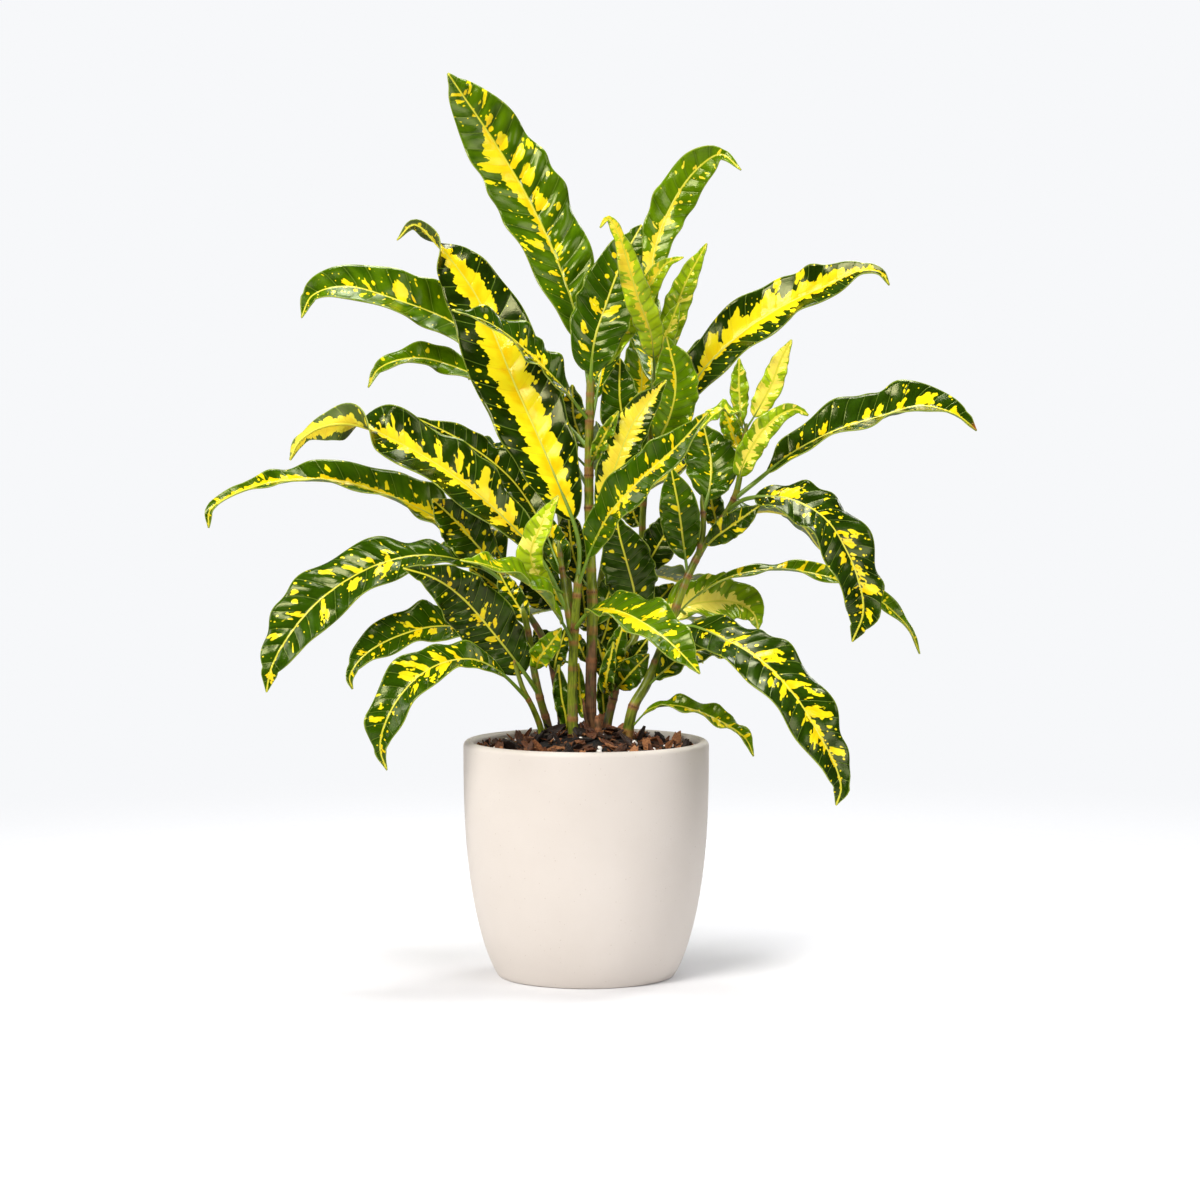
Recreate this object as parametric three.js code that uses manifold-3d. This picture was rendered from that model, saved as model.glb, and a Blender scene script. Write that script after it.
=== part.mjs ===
// A potted croton: a stoneware planter, its bark soil, a cut stub and nine leafy stems.
// Millimetres, +Z up. The origin is the centre of the pot's flat base and the front looks along +Y.
import * as THREE from 'three';
import { mergeVertices } from 'three/addons/utils/BufferGeometryUtils.js';
import Module from 'manifold-3d';

// Pot
const potHeight = 154;
const potRimRadius = 80;
const potFootRadius = 57;
const potWall = 7;
const potFloor = 9;
const potFloorCorner = 8; // radius where the inside wall meets the floor
const potSides = 44;
const bellyPower = 2.8; // how quickly the outline leaves the foot
const bellyBlend = 0.8; // how softly it reaches the straight upper wall

// Soil
const gap = 0.3; // clearance between pieces that touch
const soilEdgeHeight = 145;
const soilMoundHeight = 11;
const soilMoundRadius = 42;
const soilRelief = 2.2;
const soilRings = [1, 0.86, 0.7, 0.53, 0.35, 0.16]; // shares of the soil's radius
const smoothShare = 0.3; // inside this share the soil is smooth, where the stems stand
const barkChips = 46;
const barkSize = { least: 6, spread: 7 };
const barkLift = 0.6; // how far a chip's middle stands above the soil
const perliteGrains = 12;
const perliteSize = { least: 3.2, spread: 1.6 };
const perliteLift = 1.2;
const chipReach = 64; // how far from the pot's axis the chips and grains lie
const chipTilt = 0.65; // radians, their steepest tilt
const holeSides = 12;
const holeLength = 70; // from under a stem's foot to well above the soil
const holeEase = 1.6; // how much wider than its stem a hole is, as stems lean
const chipClearance = 5; // how far the chips stay from the stems

// Stems and leaves
const stemSides = 8;
const stemStep = 22; // length of one stem segment
const stalkShare = 0.15; // share of a leaf's length that is its stalk
const stalkWidth = 3;
const stalkThickness = 2.8;
const bladeThickness = 0.9;
const bladeStep = 19; // mean length of one row of the blade
const tipCrowding = 1.3; // rows lie closer together towards the tip
const tipWidth = 0.9;
const dripShare = 0.06; // share of a blade that is its drawn-out tip
const dripSlim = 0.26; // the width where that tip starts, as a share of the blade's

// The plant is laid out as it shows from the front, seen from here.
const eye = new THREE.Vector3(9, -2270, 392);

// A place given as [x, z, y]: x and z as they show in the plane through the pot's axis, y the depth.
function seen([x, z, y]) {
  const reach = (y - eye.y) / -eye.y;
  return new THREE.Vector3(eye.x + (x - eye.x) * reach, y, eye.z + (z - eye.z) * reach);
}

const seededRandom = (seed) => () => {
  seed = (seed + 0x6d2b79f5) | 0;
  let mixed = Math.imul(seed ^ (seed >>> 15), 1 | seed);
  mixed = (mixed + Math.imul(mixed ^ (mixed >>> 7), 61 | mixed)) ^ mixed;
  return ((mixed ^ (mixed >>> 14)) >>> 0) / 4294967296;
};

// ---- Solids and joins

const wasm = await Module();
wasm.setup();

function solidOf(geometry) {
  const bare = geometry.index ? geometry.toNonIndexed() : geometry.clone();
  bare.deleteAttribute('normal');
  bare.deleteAttribute('uv');
  const merged = mergeVertices(bare, 1e-4);
  return new wasm.Manifold(new wasm.Mesh({
    numProp: 3,
    vertProperties: new Float32Array(merged.attributes.position.array),
    triVerts: new Uint32Array(merged.index.array),
  }));
}

function geometryOf(solid) {
  const mesh = solid.getMesh();
  const geometry = new THREE.BufferGeometry();
  geometry.setAttribute('position', new THREE.BufferAttribute(new Float32Array(mesh.vertProperties), 3));
  geometry.setIndex(new THREE.BufferAttribute(new Uint32Array(mesh.triVerts), 1));
  return geometry;
}

// The largest body of a solid: cutting can leave loose scraps beside it.
function mainBody(solid) {
  return solid.decompose().reduce((a, b) => (a.volume() > b.volume() ? a : b));
}

function indexedGeometry(points, triangles) {
  const geometry = new THREE.BufferGeometry();
  geometry.setAttribute('position', new THREE.Float32BufferAttribute(points.flatMap((p) => p.toArray()), 3));
  geometry.setIndex(triangles);
  return geometry;
}

// A closed skin over rings that all have the same number of points, with a flat fan at both ends.
function skinOver(rings) {
  const count = rings[0].length;
  const points = rings.flat();
  const triangles = [];
  for (let row = 0; row < rings.length - 1; row++) {
    for (let i = 0; i < count; i++) {
      const a = row * count + i;
      const b = row * count + ((i + 1) % count);
      triangles.push(a, b, b + count, a, b + count, a + count);
    }
  }
  for (const [row, turned] of [[0, true], [rings.length - 1, false]]) {
    const centre = points.length;
    points.push(rings[row].reduce((sum, p) => sum.add(p), new THREE.Vector3()).divideScalar(count));
    for (let i = 0; i < count; i++) {
      const a = row * count + i;
      const b = row * count + ((i + 1) % count);
      triangles.push(centre, turned ? b : a, turned ? a : b);
    }
  }
  return indexedGeometry(points, triangles);
}

// ---- Pot and soil

// The outside radius at a height: from the foot it swells quickly, then runs up almost straight.
function potRadius(height) {
  const left = 1 - Math.min(height / potHeight, 1);
  return potFootRadius + (potRimRadius - potFootRadius) * (1 - left ** bellyPower) ** bellyBlend;
}

// Inside wall from the floor's middle up through some heights, set back from the wall by a clearance.
function insideProfile(heights, clearance) {
  const profile = [new THREE.Vector2(0, potFloor + clearance)];
  const cornerHeight = potFloor + potFloorCorner;
  const cornerRadius = potRadius(cornerHeight) - potWall - potFloorCorner;
  for (let step = 0; step <= 2; step++) {
    const turn = (step / 2) * (Math.PI / 2);
    const reach = potFloorCorner - clearance;
    profile.push(new THREE.Vector2(
      cornerRadius + reach * Math.sin(turn), cornerHeight - reach * Math.cos(turn)));
  }
  for (const height of heights) {
    profile.push(new THREE.Vector2(potRadius(height) - potWall - clearance, height));
  }
  return profile;
}

function potGeometry() {
  const profile = [new THREE.Vector2(0, 0), new THREE.Vector2(potFootRadius, 0)];
  const lip = potWall / 2;
  for (const height of [3, 10, 22, 42, 75, 115]) {
    profile.push(new THREE.Vector2(potRadius(height), height));
  }
  for (let step = 0; step <= 4; step++) {
    const turn = (step / 4) * Math.PI;
    profile.push(new THREE.Vector2(
      potRimRadius - lip + lip * Math.cos(turn), potHeight - lip + lip * Math.sin(turn)));
  }
  profile.push(...insideProfile([30, 55, 90, 125], 0).reverse());
  return new THREE.LatheGeometry(profile, potSides).rotateX(Math.PI / 2);
}

function soilHeight(radius) {
  return soilEdgeHeight + soilMoundHeight * Math.exp(-((radius / soilMoundRadius) ** 3));
}

// The soil plug: the pot's inside, less the clearance, under a mound of rough bark.
function soilSolid(holes) {
  const random = seededRandom(11);
  const rings = [];
  const turnAt = (i) => (i / potSides) * Math.PI * 2;
  for (const { x: radius, y: height } of insideProfile([30, 90, soilEdgeHeight - 3], gap).slice(1)) {
    rings.push(Array.from({ length: potSides }, (_, i) =>
      new THREE.Vector3(radius * Math.sin(turnAt(i)), -radius * Math.cos(turnAt(i)), height)));
  }
  const wallRadius = potRadius(soilEdgeHeight) - potWall - gap;
  for (const share of soilRings) {
    const radius = wallRadius * share - (share === 1 ? 1 : 0);
    rings.push(Array.from({ length: potSides }, (_, i) => {
      const bump = share > smoothShare ? (random() - 0.5) * 2 * soilRelief : 0;
      return new THREE.Vector3(
        radius * Math.sin(turnAt(i)), -radius * Math.cos(turnAt(i)), soilHeight(radius) + bump);
    }));
  }
  let soil = solidOf(skinOver(rings));
  for (let i = 0; i < barkChips + perliteGrains; i++) {
    const isGrain = i >= barkChips;
    const { least, spread } = isGrain ? perliteSize : barkSize;
    const size = least + random() * spread;
    const radius = chipReach * Math.sqrt(random());
    const turn = random() * Math.PI * 2;
    const lump = isGrain
      ? new THREE.IcosahedronGeometry(size / 2, 0)
      : new THREE.BoxGeometry(size * 1.5, size * 0.8, size * (0.35 + random() * 0.3));
    const place = new THREE.Vector3(radius * Math.cos(turn), radius * Math.sin(turn), 0);
    lump.rotateX((random() - 0.5) * 2 * chipTilt);
    lump.rotateY((random() - 0.5) * 2 * chipTilt);
    lump.rotateZ(random() * Math.PI);
    lump.translate(place.x, place.y, soilHeight(radius) + (isGrain ? perliteLift : barkLift));
    const nearest = Math.min(...holes.map(({ base }) => Math.hypot(base.x - place.x, base.y - place.y)));
    if (nearest > chipClearance + size) soil = soil.add(solidOf(lump));
  }
  for (const { base, radius } of holes) {
    const hole = new THREE.CylinderGeometry(radius, radius, holeLength, holeSides);
    hole.rotateX(Math.PI / 2);
    hole.translate(base.x, base.y, base.z - gap + holeLength / 2);
    soil = soil.subtract(solidOf(hole));
  }
  return mainBody(soil);
}

// ---- Stems

// A stem along a smooth curve. It tapers from one radius to the other.
function stemGeometry(curve, fromRadius, toRadius) {
  const steps = Math.max(2, Math.round(curve.getLength() / stemStep));
  const side = new THREE.Vector3(1, 0, 0);
  const rings = [];
  for (let step = 0; step <= steps; step++) {
    const along = step / steps;
    const centre = curve.getPointAt(along);
    const tangent = curve.getTangentAt(along);
    const out = side.clone().addScaledVector(tangent, -side.dot(tangent)).normalize();
    const across = new THREE.Vector3().crossVectors(tangent, out);
    const radius = THREE.MathUtils.lerp(fromRadius, toRadius, along);
    rings.push(Array.from({ length: stemSides }, (_, i) => {
      const turn = (i / stemSides) * Math.PI * 2;
      return centre.clone()
        .addScaledVector(out, radius * Math.cos(turn))
        .addScaledVector(across, radius * Math.sin(turn));
    }));
  }
  return skinOver(rings);
}

function curveThrough(points) {
  return new THREE.CatmullRomCurve3(points, false, 'centripetal');
}

// The point on a stem's centre line at a height.
function pointAtHeight(curve, height) {
  const samples = curve.getSpacedPoints(60);
  return samples.reduce((best, p) => (Math.abs(p.z - height) < Math.abs(best.z - height) ? p : best));
}

// ---- Leaves

// Which way the upper face of a leaf looks, before it is turned square to its midrib.
const front = [0, -1, 0.15];
const frontUp = [0, -0.75, 0.65];
const up = [0, -0.5, 0.85];
const sky = [0, 0, 1];

// Half-width of the blade as a share of its widest, which lies at the leaf's own place along it. A low
// fullness exponent makes the blade broad up to both its ends.
function bladeOutline(along, { widest, fullness, drip }) {
  const rise = (fullness * widest) / (1 - widest);
  const peak = widest ** rise * (1 - widest) ** fullness;
  const body = Math.min(along / (1 - drip), 1);
  return (body ** rise * (1 - body) ** fullness) / peak;
}

// A leaf is one closed strip swept along its midrib: a stalk that widens into a folded, waved blade.
// Both faces are split into triangles alike, so the strip is equally thick all over.
function leafGeometry(leaf, root, phase) {
  const curve = curveThrough([root, ...leaf.points.map(seen)]);
  const length = curve.getLength();
  const bladeRows = THREE.MathUtils.clamp(Math.round((length * (1 - stalkShare)) / bladeStep), 5, 11);
  const stations = [0, stalkShare * 0.55];
  for (let row = 0; row <= bladeRows; row++) {
    stations.push(1 - (1 - stalkShare) * (1 - row / bladeRows) ** tipCrowding);
  }
  const faceFrom = new THREE.Vector3(...leaf.face);
  const faceTo = new THREE.Vector3(...(leaf.tipFace ?? leaf.face));
  const upper = [];
  const lower = [];
  for (const station of stations) {
    const centre = curve.getPointAt(station);
    const tangent = curve.getTangentAt(station);
    const face = faceFrom.clone().lerp(faceTo, station);
    const normal = face.addScaledVector(tangent, -face.dot(tangent)).normalize();
    const [twistFrom, twistTo, twistTurn] = leaf.twist;
    normal.applyAxisAngle(tangent, twistTurn * THREE.MathUtils.smoothstep(station, twistFrom, twistTo));
    const side = new THREE.Vector3().crossVectors(tangent, normal);
    const along = Math.max(0, (station - stalkShare) / (1 - stalkShare));
    const blade = (leaf.width / 2) * bladeOutline(along, leaf);
    const drawnOut = THREE.MathUtils.clamp((along - 1 + leaf.drip) / leaf.drip, 0, 1);
    const slim = along < leaf.widest ? stalkWidth : THREE.MathUtils.lerp(leaf.dripWidth, tipWidth, drawnOut);
    const half = Math.max(blade, slim / 2);
    const isBlade = THREE.MathUtils.smoothstep(along, 0, 0.12);
    const thick = THREE.MathUtils.lerp(stalkThickness, bladeThickness, isBlade) / 2;
    for (const [edge, shift] of [[-1, 0], [0, 0], [1, 0.35]]) {
      const ripple = Math.sin((along * leaf.waves + phase + shift) * Math.PI * 2);
      const lift = edge * edge * isBlade * (leaf.fold * half + leaf.wave * ripple * (half / leaf.width) * 2);
      const point = centre.clone().addScaledVector(side, edge * half).addScaledVector(normal, lift);
      upper.push(point.clone().addScaledVector(normal, thick));
      lower.push(point.clone().addScaledVector(normal, -thick));
    }
  }
  const points = [...upper, ...lower];
  const under = upper.length;
  const last = upper.length - 3;
  const triangles = [];
  const quad = (a, b, c, d) => triangles.push(a, b, c, a, c, d);
  for (let row = 0; row < stations.length - 1; row++) {
    const [left, rib, right] = [row * 3, row * 3 + 1, row * 3 + 2];
    quad(rib, rib + 3, left + 3, left);
    quad(rib, right, right + 3, rib + 3);
    quad(under + rib, under + left, under + left + 3, under + rib + 3);
    quad(under + rib, under + rib + 3, under + right + 3, under + right);
    quad(left, left + 3, under + left + 3, under + left);
    quad(right, under + right, under + right + 3, right + 3);
  }
  quad(0, under, under + 1, 1);
  quad(1, under + 1, under + 2, 2);
  quad(last, last + 1, under + last + 1, under + last);
  quad(last + 1, last + 2, under + last + 2, under + last + 1);
  return indexedGeometry(points, triangles);
}

// One leaf of a stem: which branch it grows from and at what height, its width, which way it faces and
// where its midrib runs after the root, each point as [x, z, y]. A twist is the share of the leaf where
// it starts, where it ends and its turn in radians.
function leaf(branch, height, width, face, points, options = {}) {
  const fold = face === front ? 0.2 : 0.4; // a leaf seen from above its side shows its far half widest
  const tip = { drip: dripShare, dripWidth: width * dripSlim, twist: [0, 1, 0] };
  const shape = { widest: 0.5, fullness: 0.6, fold, wave: 2.2, waves: 3.5, ...tip };
  return { branch, height, width, face, points, ...shape, ...options };
}

// ---- The stems: their branches, as [x, z, y] points and end radii, and their leaves

const stems = {
  leafy_stem_trunk: {
    branches: [
      {
        points: [[3, 126, -5], [3, 186, -4], [4, 240, -2], [2, 300, 0], [2, 350, 2], [3, 392, 3]],
        radii: [4, 2.6],
      },
      { points: [[3, 160, -5], [0, 166, -11], [-2, 181, -13]], radii: [1.4, 0.8] },
    ],
    leaves: [
      leaf(0, 380, 47, [0.5, -1, 0.15],
        [[-3, 415, 10], [-18, 463, 26], [-36, 502, 34], [-56, 536, 36], [-89, 585, 24]],
        { tipFace: [0.05, -1, 0.15], widest: 0.52, fullness: 0.48, drip: 0.03, dripWidth: 8, fold: 0.3 }),
      leaf(0, 374, 38, front, [[5, 411, 0], [13, 437, 2], [24, 466, 4], [36, 488, 8]], { widest: 0.45 }),
      leaf(0, 384, 16, front,
        [[13, 401, 2], [26, 424, 6], [42, 450, 8], [52, 463, 6], [63, 467, 2]],
        { widest: 0.45 }),
      leaf(0, 345, 38, frontUp,
        [[-40, 388, 34], [-85, 424, 46], [-124, 440, 36], [-156, 448, 26], [-177, 442, 18], [-184, 428, 12]],
        { widest: 0.62, fullness: 0.5 }),
      leaf(0, 332, 20, frontUp,
        [[-45, 376, 44], [-82, 395, 50], [-111, 402, 40], [-134, 395, 32], [-141, 383, 28]],
        { widest: 0.66 }),
      leaf(0, 360, 28, [-0.2, -0.5, 0.85],
        [[-17, 385, -12], [-39, 407, -20], [-62, 424, -28], [-87, 433, -34]]),
      leaf(0, 331, 10, [0.3, -0.9, 0.3], [[8, 345, -8], [14, 356, -12], [21, 368, -14]]),
      leaf(0, 290, 24, front, [[9, 307, -8], [19, 332, -10], [30, 359, -8], [52, 388, -4]]),
      leaf(0, 352, 30, sky, [[10, 395, 40], [15, 430, 90], [14, 450, 135], [8, 440, 175]]),
      leaf(0, 318, 30, sky, [[-20, 358, 48], [-42, 388, 88], [-62, 400, 125], [-76, 388, 152]]),
    ],
  },
  leafy_stem_front: {
    branches: [
      { points: [[-7, 126, -17], [-9, 180, -17], [-8, 219, -17], [-5, 262, -16]], radii: [3.7, 2.6] },
      { points: [[-8, 214, -17], [-13, 245, -15], [-18, 284, -10]], radii: [2.4, 1.6] },
    ],
    leaves: [
      leaf(0, 257, 50, front,
        [[-5, 284, -10], [-19, 323, -2], [-46, 385, 14], [-72, 444, 26],
          [-96, 475, 28], [-111, 488, 24], [-122, 478, 18]],
        { widest: 0.5, fullness: 0.55, drip: 0.14, dripWidth: 14, twist: [0.8, 0.93, 2.7] }),
      leaf(0, 255, 28, [-0.3, -0.9, 0.4],
        [[3, 277, -26], [16, 302, -38], [35, 323, -50], [61, 347, -62], [79, 367, -70]]),
      leaf(0, 228, 34, [0.2, -0.75, 0.65],
        [[3, 238, -36], [20, 238, -58], [39, 229, -80], [58, 214, -96], [74, 197, -104]],
        { widest: 0.55 }),
      leaf(0, 217, 26, [-0.2, -0.6, 0.75],
        [[-17, 233, -28], [-30, 250, -44], [-49, 262, -62], [-66, 268, -76], [-82, 271, -84]]),
      leaf(1, 238, 40, frontUp,
        [[-28, 270, -14], [-46, 291, -18], [-82, 323, -24], [-121, 347, -26],
          [-150, 359, -28], [-172, 357, -32], [-186, 348, -34], [-192, 336, -36]],
        { widest: 0.5, fullness: 0.9, dripWidth: 7, twist: [0.7, 0.86, 2.7] }),
      leaf(1, 262, 22, frontUp, [[-30, 296, 4], [-50, 325, 12], [-80, 348, 14], [-112, 364, 12]]),
      leaf(1, 250, 17, [-0.2, -1, 0.2], [[-30, 260, -28], [-36, 274, -38], [-29, 294, -42], [-18, 313, -38]]),
      leaf(1, 256, 18, front, [[-18, 274, -4], [-23, 287, 0], [-27, 302, 2]]),
    ],
  },
  leafy_stem_left_low: {
    branches: [
      {
        points: [[-29, 126, -10], [-29, 158, -10], [-34, 173, -16], [-41, 187, -23], [-47, 206, -29]],
        radii: [2.6, 1.4],
      },
    ],
    leaves: [
      leaf(0, 182, 30, [-0.1, -0.75, 0.65],
        [[-56, 198, -38], [-72, 206, -47], [-90, 205, -54], [-108, 196, -60],
          [-124, 178, -64], [-133, 158, -66], [-134, 146, -65], [-130, 134, -62]],
        { widest: 0.62, drip: 0.1 }),
    ],
  },
  leafy_stem_left: {
    branches: [
      {
        points: [[-24, 126, 2], [-24, 158, 2], [-30, 181, -2],
          [-34, 200, -6], [-37, 220, -10], [-41, 240, -12]],
        radii: [3, 2],
      },
    ],
    leaves: [
      leaf(0, 184, 38, front,
        [[-39, 196, -11], [-59, 222, -21], [-82, 248, -36], [-100, 260, -48], [-119, 266, -50]],
        { widest: 0.46, drip: 0.09 }),
      leaf(0, 206, 30, frontUp,
        [[-54, 219, -8], [-80, 227, -14], [-104, 227, -22], [-134, 216, -30],
          [-148, 205, -34], [-154, 194, -36], [-152, 187, -36]],
        { widest: 0.52, drip: 0.1 }),
      leaf(0, 196, 15, front, [[-30, 208, -18], [-23, 217, -24], [-16, 227, -27]]),
      leaf(0, 212, 22, sky, [[-60, 226, 36], [-85, 232, 75], [-108, 228, 108], [-126, 216, 132]]),
    ],
  },
  leafy_stem_left_woody: {
    branches: [
      {
        points: [[-15, 126, 10], [-15, 158, 10], [-19, 187, 10], [-26, 216, 9],
          [-39, 238, 8], [-50, 254, 6], [-59, 272, 4]],
        radii: [3.2, 1.8],
      },
    ],
    leaves: [
      leaf(0, 266, 35, up,
        [[-72, 283, 14], [-91, 295, 18], [-121, 310, 16], [-160, 322, 8],
          [-200, 322, 0], [-230, 313, -6], [-244, 303, -8], [-245, 292, -8]],
        { widest: 0.25, fold: 0.5, fullness: 1, drip: 0.08 }),
      leaf(0, 262, 30, [-0.2, -0.9, 0.4], [[-72, 282, -2], [-85, 297, -6], [-100, 311, -8]]),
      leaf(0, 240, 42, [0, -0.3, 0.95],
        [[-60, 262, 2], [-82, 271, -8], [-108, 274, -18], [-140, 266, -30],
          [-173, 245, -40], [-195, 219, -46], [-205, 200, -48], [-208, 185, -48]],
        { tipFace: [-0.3, -1, 0.3], widest: 0.6, fullness: 0.58, fold: 0.18 }),
      leaf(0, 256, 20, sky, [[-75, 270, 50], [-95, 276, 90], [-116, 272, 125], [-132, 262, 152]]),
      leaf(0, 246, 26, sky, [[-66, 298, 48], [-82, 325, 84], [-95, 335, 120], [-100, 328, 150]]),
    ],
  },
  leafy_stem_right_tall: {
    branches: [
      {
        points: [[13, 126, 8], [13, 158, 8], [18, 183, 12], [24, 208, 16], [32, 222, 20],
          [36, 271, 24], [37, 304, 26], [42, 355, 28], [45, 396, 28]],
        radii: [3.1, 1.7],
      },
    ],
    leaves: [
      leaf(0, 390, 27, front,
        [[43, 440, 42], [44, 470, 48], [57, 504, 54], [73, 525, 52], [87, 533, 46], [100, 523, 40]],
        { widest: 0.7, drip: 0.1 }),
      leaf(0, 386, 18, front,
        [[42, 417, 2], [34, 440, -16], [28, 460, -26], [22, 479, -32], [14, 492, -34], [9, 486, -36]],
        { widest: 0.42, dripWidth: 7, drip: 0.14 }),
      leaf(0, 380, 17, front, [[53, 417, 26], [58, 434, 28], [66, 454, 28], [78, 476, 26]], { widest: 0.45 }),
      leaf(0, 392, 12, front, [[50, 412, 18], [56, 428, 14], [60, 438, 12]]),
      leaf(0, 348, 36, [0, -0.8, 0.6],
        [[59, 370, 36], [79, 398, 44], [103, 420, 46], [130, 437, 42],
          [156, 449, 34], [177, 458, 28], [190, 457, 24], [196, 449, 22]],
        { widest: 0.5, drip: 0.1, fold: 0.4 }),
      leaf(0, 318, 28, front, [[28, 348, 16], [22, 374, 12], [22, 402, 10]]),
      leaf(0, 338, 30, front, [[54, 364, 18], [58, 388, 12], [52, 416, 8]]),
      leaf(0, 226, 34, front, [[31, 252, 8], [26, 271, 2], [21, 290, -2], [20, 300, -2]]),
      leaf(0, 258, 24, front, [[43, 274, 16], [50, 286, 16], [60, 302, 16]]),
      leaf(0, 184, 18, front, [[24, 192, 2], [32, 201, -4], [41, 210, -6]]),
      leaf(0, 178, 10, front, [[13, 190, -4], [15, 204, -10], [18, 218, -12]]),
      leaf(0, 362, 26, sky, [[64, 380, 74], [78, 402, 112], [88, 414, 148], [94, 412, 176]]),
      leaf(0, 372, 26, sky, [[42, 402, 80], [38, 425, 126], [32, 436, 168], [28, 424, 200]]),
    ],
  },
  leafy_stem_right: {
    branches: [
      {
        points: [[26, 126, -12], [27, 157, -12], [31, 176, -12], [39, 190, -11], [50, 216, -9], [65, 258, -6],
          [76, 280, -4], [88, 297, -4], [97, 314, -5], [101, 336, -5], [104, 360, -5]],
        radii: [3.9, 1.6],
      },
      { points: [[73, 274, -5], [76, 292, -4], [75, 314, -3]], radii: [2.2, 1.5] },
    ],
    leaves: [
      leaf(0, 350, 11, up, [[97, 366, -10], [87, 368, -14], [74, 356, -18]]),
      leaf(0, 218, 40, [0.25, -0.75, 0.6],
        [[66, 228, -32], [91, 219, -54], [117, 203, -72], [137, 181, -84],
          [150, 160, -90], [162, 137, -92], [166, 122, -92], [163, 111, -90]],
        { widest: 0.45, fullness: 0.5, fold: 0.15 }),
      leaf(0, 188, 22, frontUp, [[50, 198, -16], [64, 209, -18], [80, 213, -16], [100, 210, -12]]),
      leaf(0, 160, 15, up,
        [[42, 174, -18], [58, 176, -24], [76, 171, -32], [94, 162, -38], [104, 154, -40], [109, 143, -40]],
        { widest: 0.55, fold: 0.5 }),
      leaf(0, 312, 37, up,
        [[110, 322, -6], [133, 340, -4], [159, 354, -2], [190, 364, 0],
          [218, 371, 0], [240, 365, -2], [253, 355, -4]],
        { widest: 0.56, fullness: 0.58, fold: 0.5 }),
      leaf(0, 303, 38, [0.2, -0.7, 0.7],
        [[104, 311, -16], [131, 311, -28], [155, 298, -38], [169, 277, -42],
          [177, 257, -44], [180, 237, -44], [173, 218, -42]],
        { widest: 0.48, fullness: 0.5, fold: 0.12 }),
      leaf(0, 275, 16, front, [[84, 286, -10], [98, 296, -16], [113, 307, -20]]),
      leaf(0, 228, 14, up,
        [[68, 245, 6], [91, 259, 12], [123, 265, 16], [160, 259, 16],
          [190, 245, 12], [210, 226, 8], [217, 210, 6]],
        { widest: 0.6, fold: 0.5 }),
      leaf(0, 224, 34, [0, -0.85, 0.5],
        [[64, 240, 18], [82, 244, 32], [98, 243, 38], [109, 236, 38], [112, 226, 36]],
        { widest: 0.5 }),
      leaf(0, 262, 26, front, [[63, 283, -4], [60, 305, -8], [55, 331, -10]]),
      leaf(1, 302, 34, front, [[80, 318, -2], [81, 335, 4], [76, 359, 8]]),
      leaf(0, 356, 12, front, [[100, 370, 2], [99, 386, 4], [99, 402, 4]]),
      leaf(0, 357, 15, front,
        [[111, 368, -6], [120, 385, -8], [126, 401, -10], [133, 414, -12]],
        { widest: 0.4 }),
      leaf(0, 314, 16, front,
        [[101, 331, -14], [107, 344, -18], [116, 357, -22],
          [125, 365, -22], [136, 369, -22], [144, 365, -22]],
        { widest: 0.38 }),
      leaf(0, 292, 30, sky, [[95, 298, 50], [118, 303, 95], [138, 296, 130], [152, 278, 160]]),
      leaf(0, 240, 26, sky, [[72, 230, 32], [92, 217, 72], [112, 202, 102], [126, 186, 127]]),
    ],
  },
  leafy_stem_back_left: {
    branches: [
      {
        points: [[-8, 126, 34], [-8, 160, 35], [-8, 190, 39], [-9, 225, 47], [-12, 262, 62], [-18, 306, 82]],
        radii: [3, 1.8],
      },
    ],
    leaves: [
      leaf(0, 300, 30, sky, [[-40, 330, 122], [-70, 345, 158], [-95, 340, 190]]),
      leaf(0, 270, 32, sky, [[-38, 284, 104], [-62, 286, 146], [-84, 274, 186]]),
      leaf(0, 308, 30, sky, [[-24, 348, 116], [-32, 378, 150], [-36, 396, 182]]),
      leaf(0, 236, 28, sky, [[-30, 238, 84], [-54, 228, 124], [-76, 210, 156]]),
    ],
  },
  leafy_stem_back_right: {
    branches: [
      {
        points: [[3, 126, 37], [3, 160, 38], [3, 190, 42], [5, 230, 52], [12, 272, 68], [22, 322, 88]],
        radii: [3.1, 1.8],
      },
    ],
    leaves: [
      leaf(0, 322, 30, sky, [[34, 368, 122], [36, 400, 144], [32, 424, 160]]),
      leaf(0, 300, 32, sky, [[48, 322, 128], [74, 336, 166], [92, 330, 200]]),
      leaf(0, 264, 30, sky, [[44, 262, 108], [72, 253, 150], [96, 241, 186]]),
      leaf(0, 232, 26, sky, [[30, 228, 90], [54, 218, 126], [76, 204, 156]]),
      leaf(0, 318, 30, sky, [[20, 352, 134], [14, 348, 178], [8, 322, 214]]),
    ],
  },
};

const stub = { points: [[8, 126, -14], [8, 158, -14], [7, 170, -13]], radii: [2.4, 2.1] };

// ---- The object

const group = new THREE.Group();

function addPiece(name, geometry, colour, roughness) {
  const material = new THREE.MeshStandardMaterial({ color: colour, roughness, metalness: 0 });
  const mesh = new THREE.Mesh(geometry, material);
  mesh.name = name;
  group.add(mesh);
}

const holes = [];

function branchSolid({ points, radii }, standsInSoil) {
  const curve = curveThrough(points.map(seen));
  if (standsInSoil) {
    const base = curve.getPointAt(0);
    holes.push({ base, radius: radii[0] + holeEase });
  }
  return { curve, solid: solidOf(stemGeometry(curve, ...radii)) };
}

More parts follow.
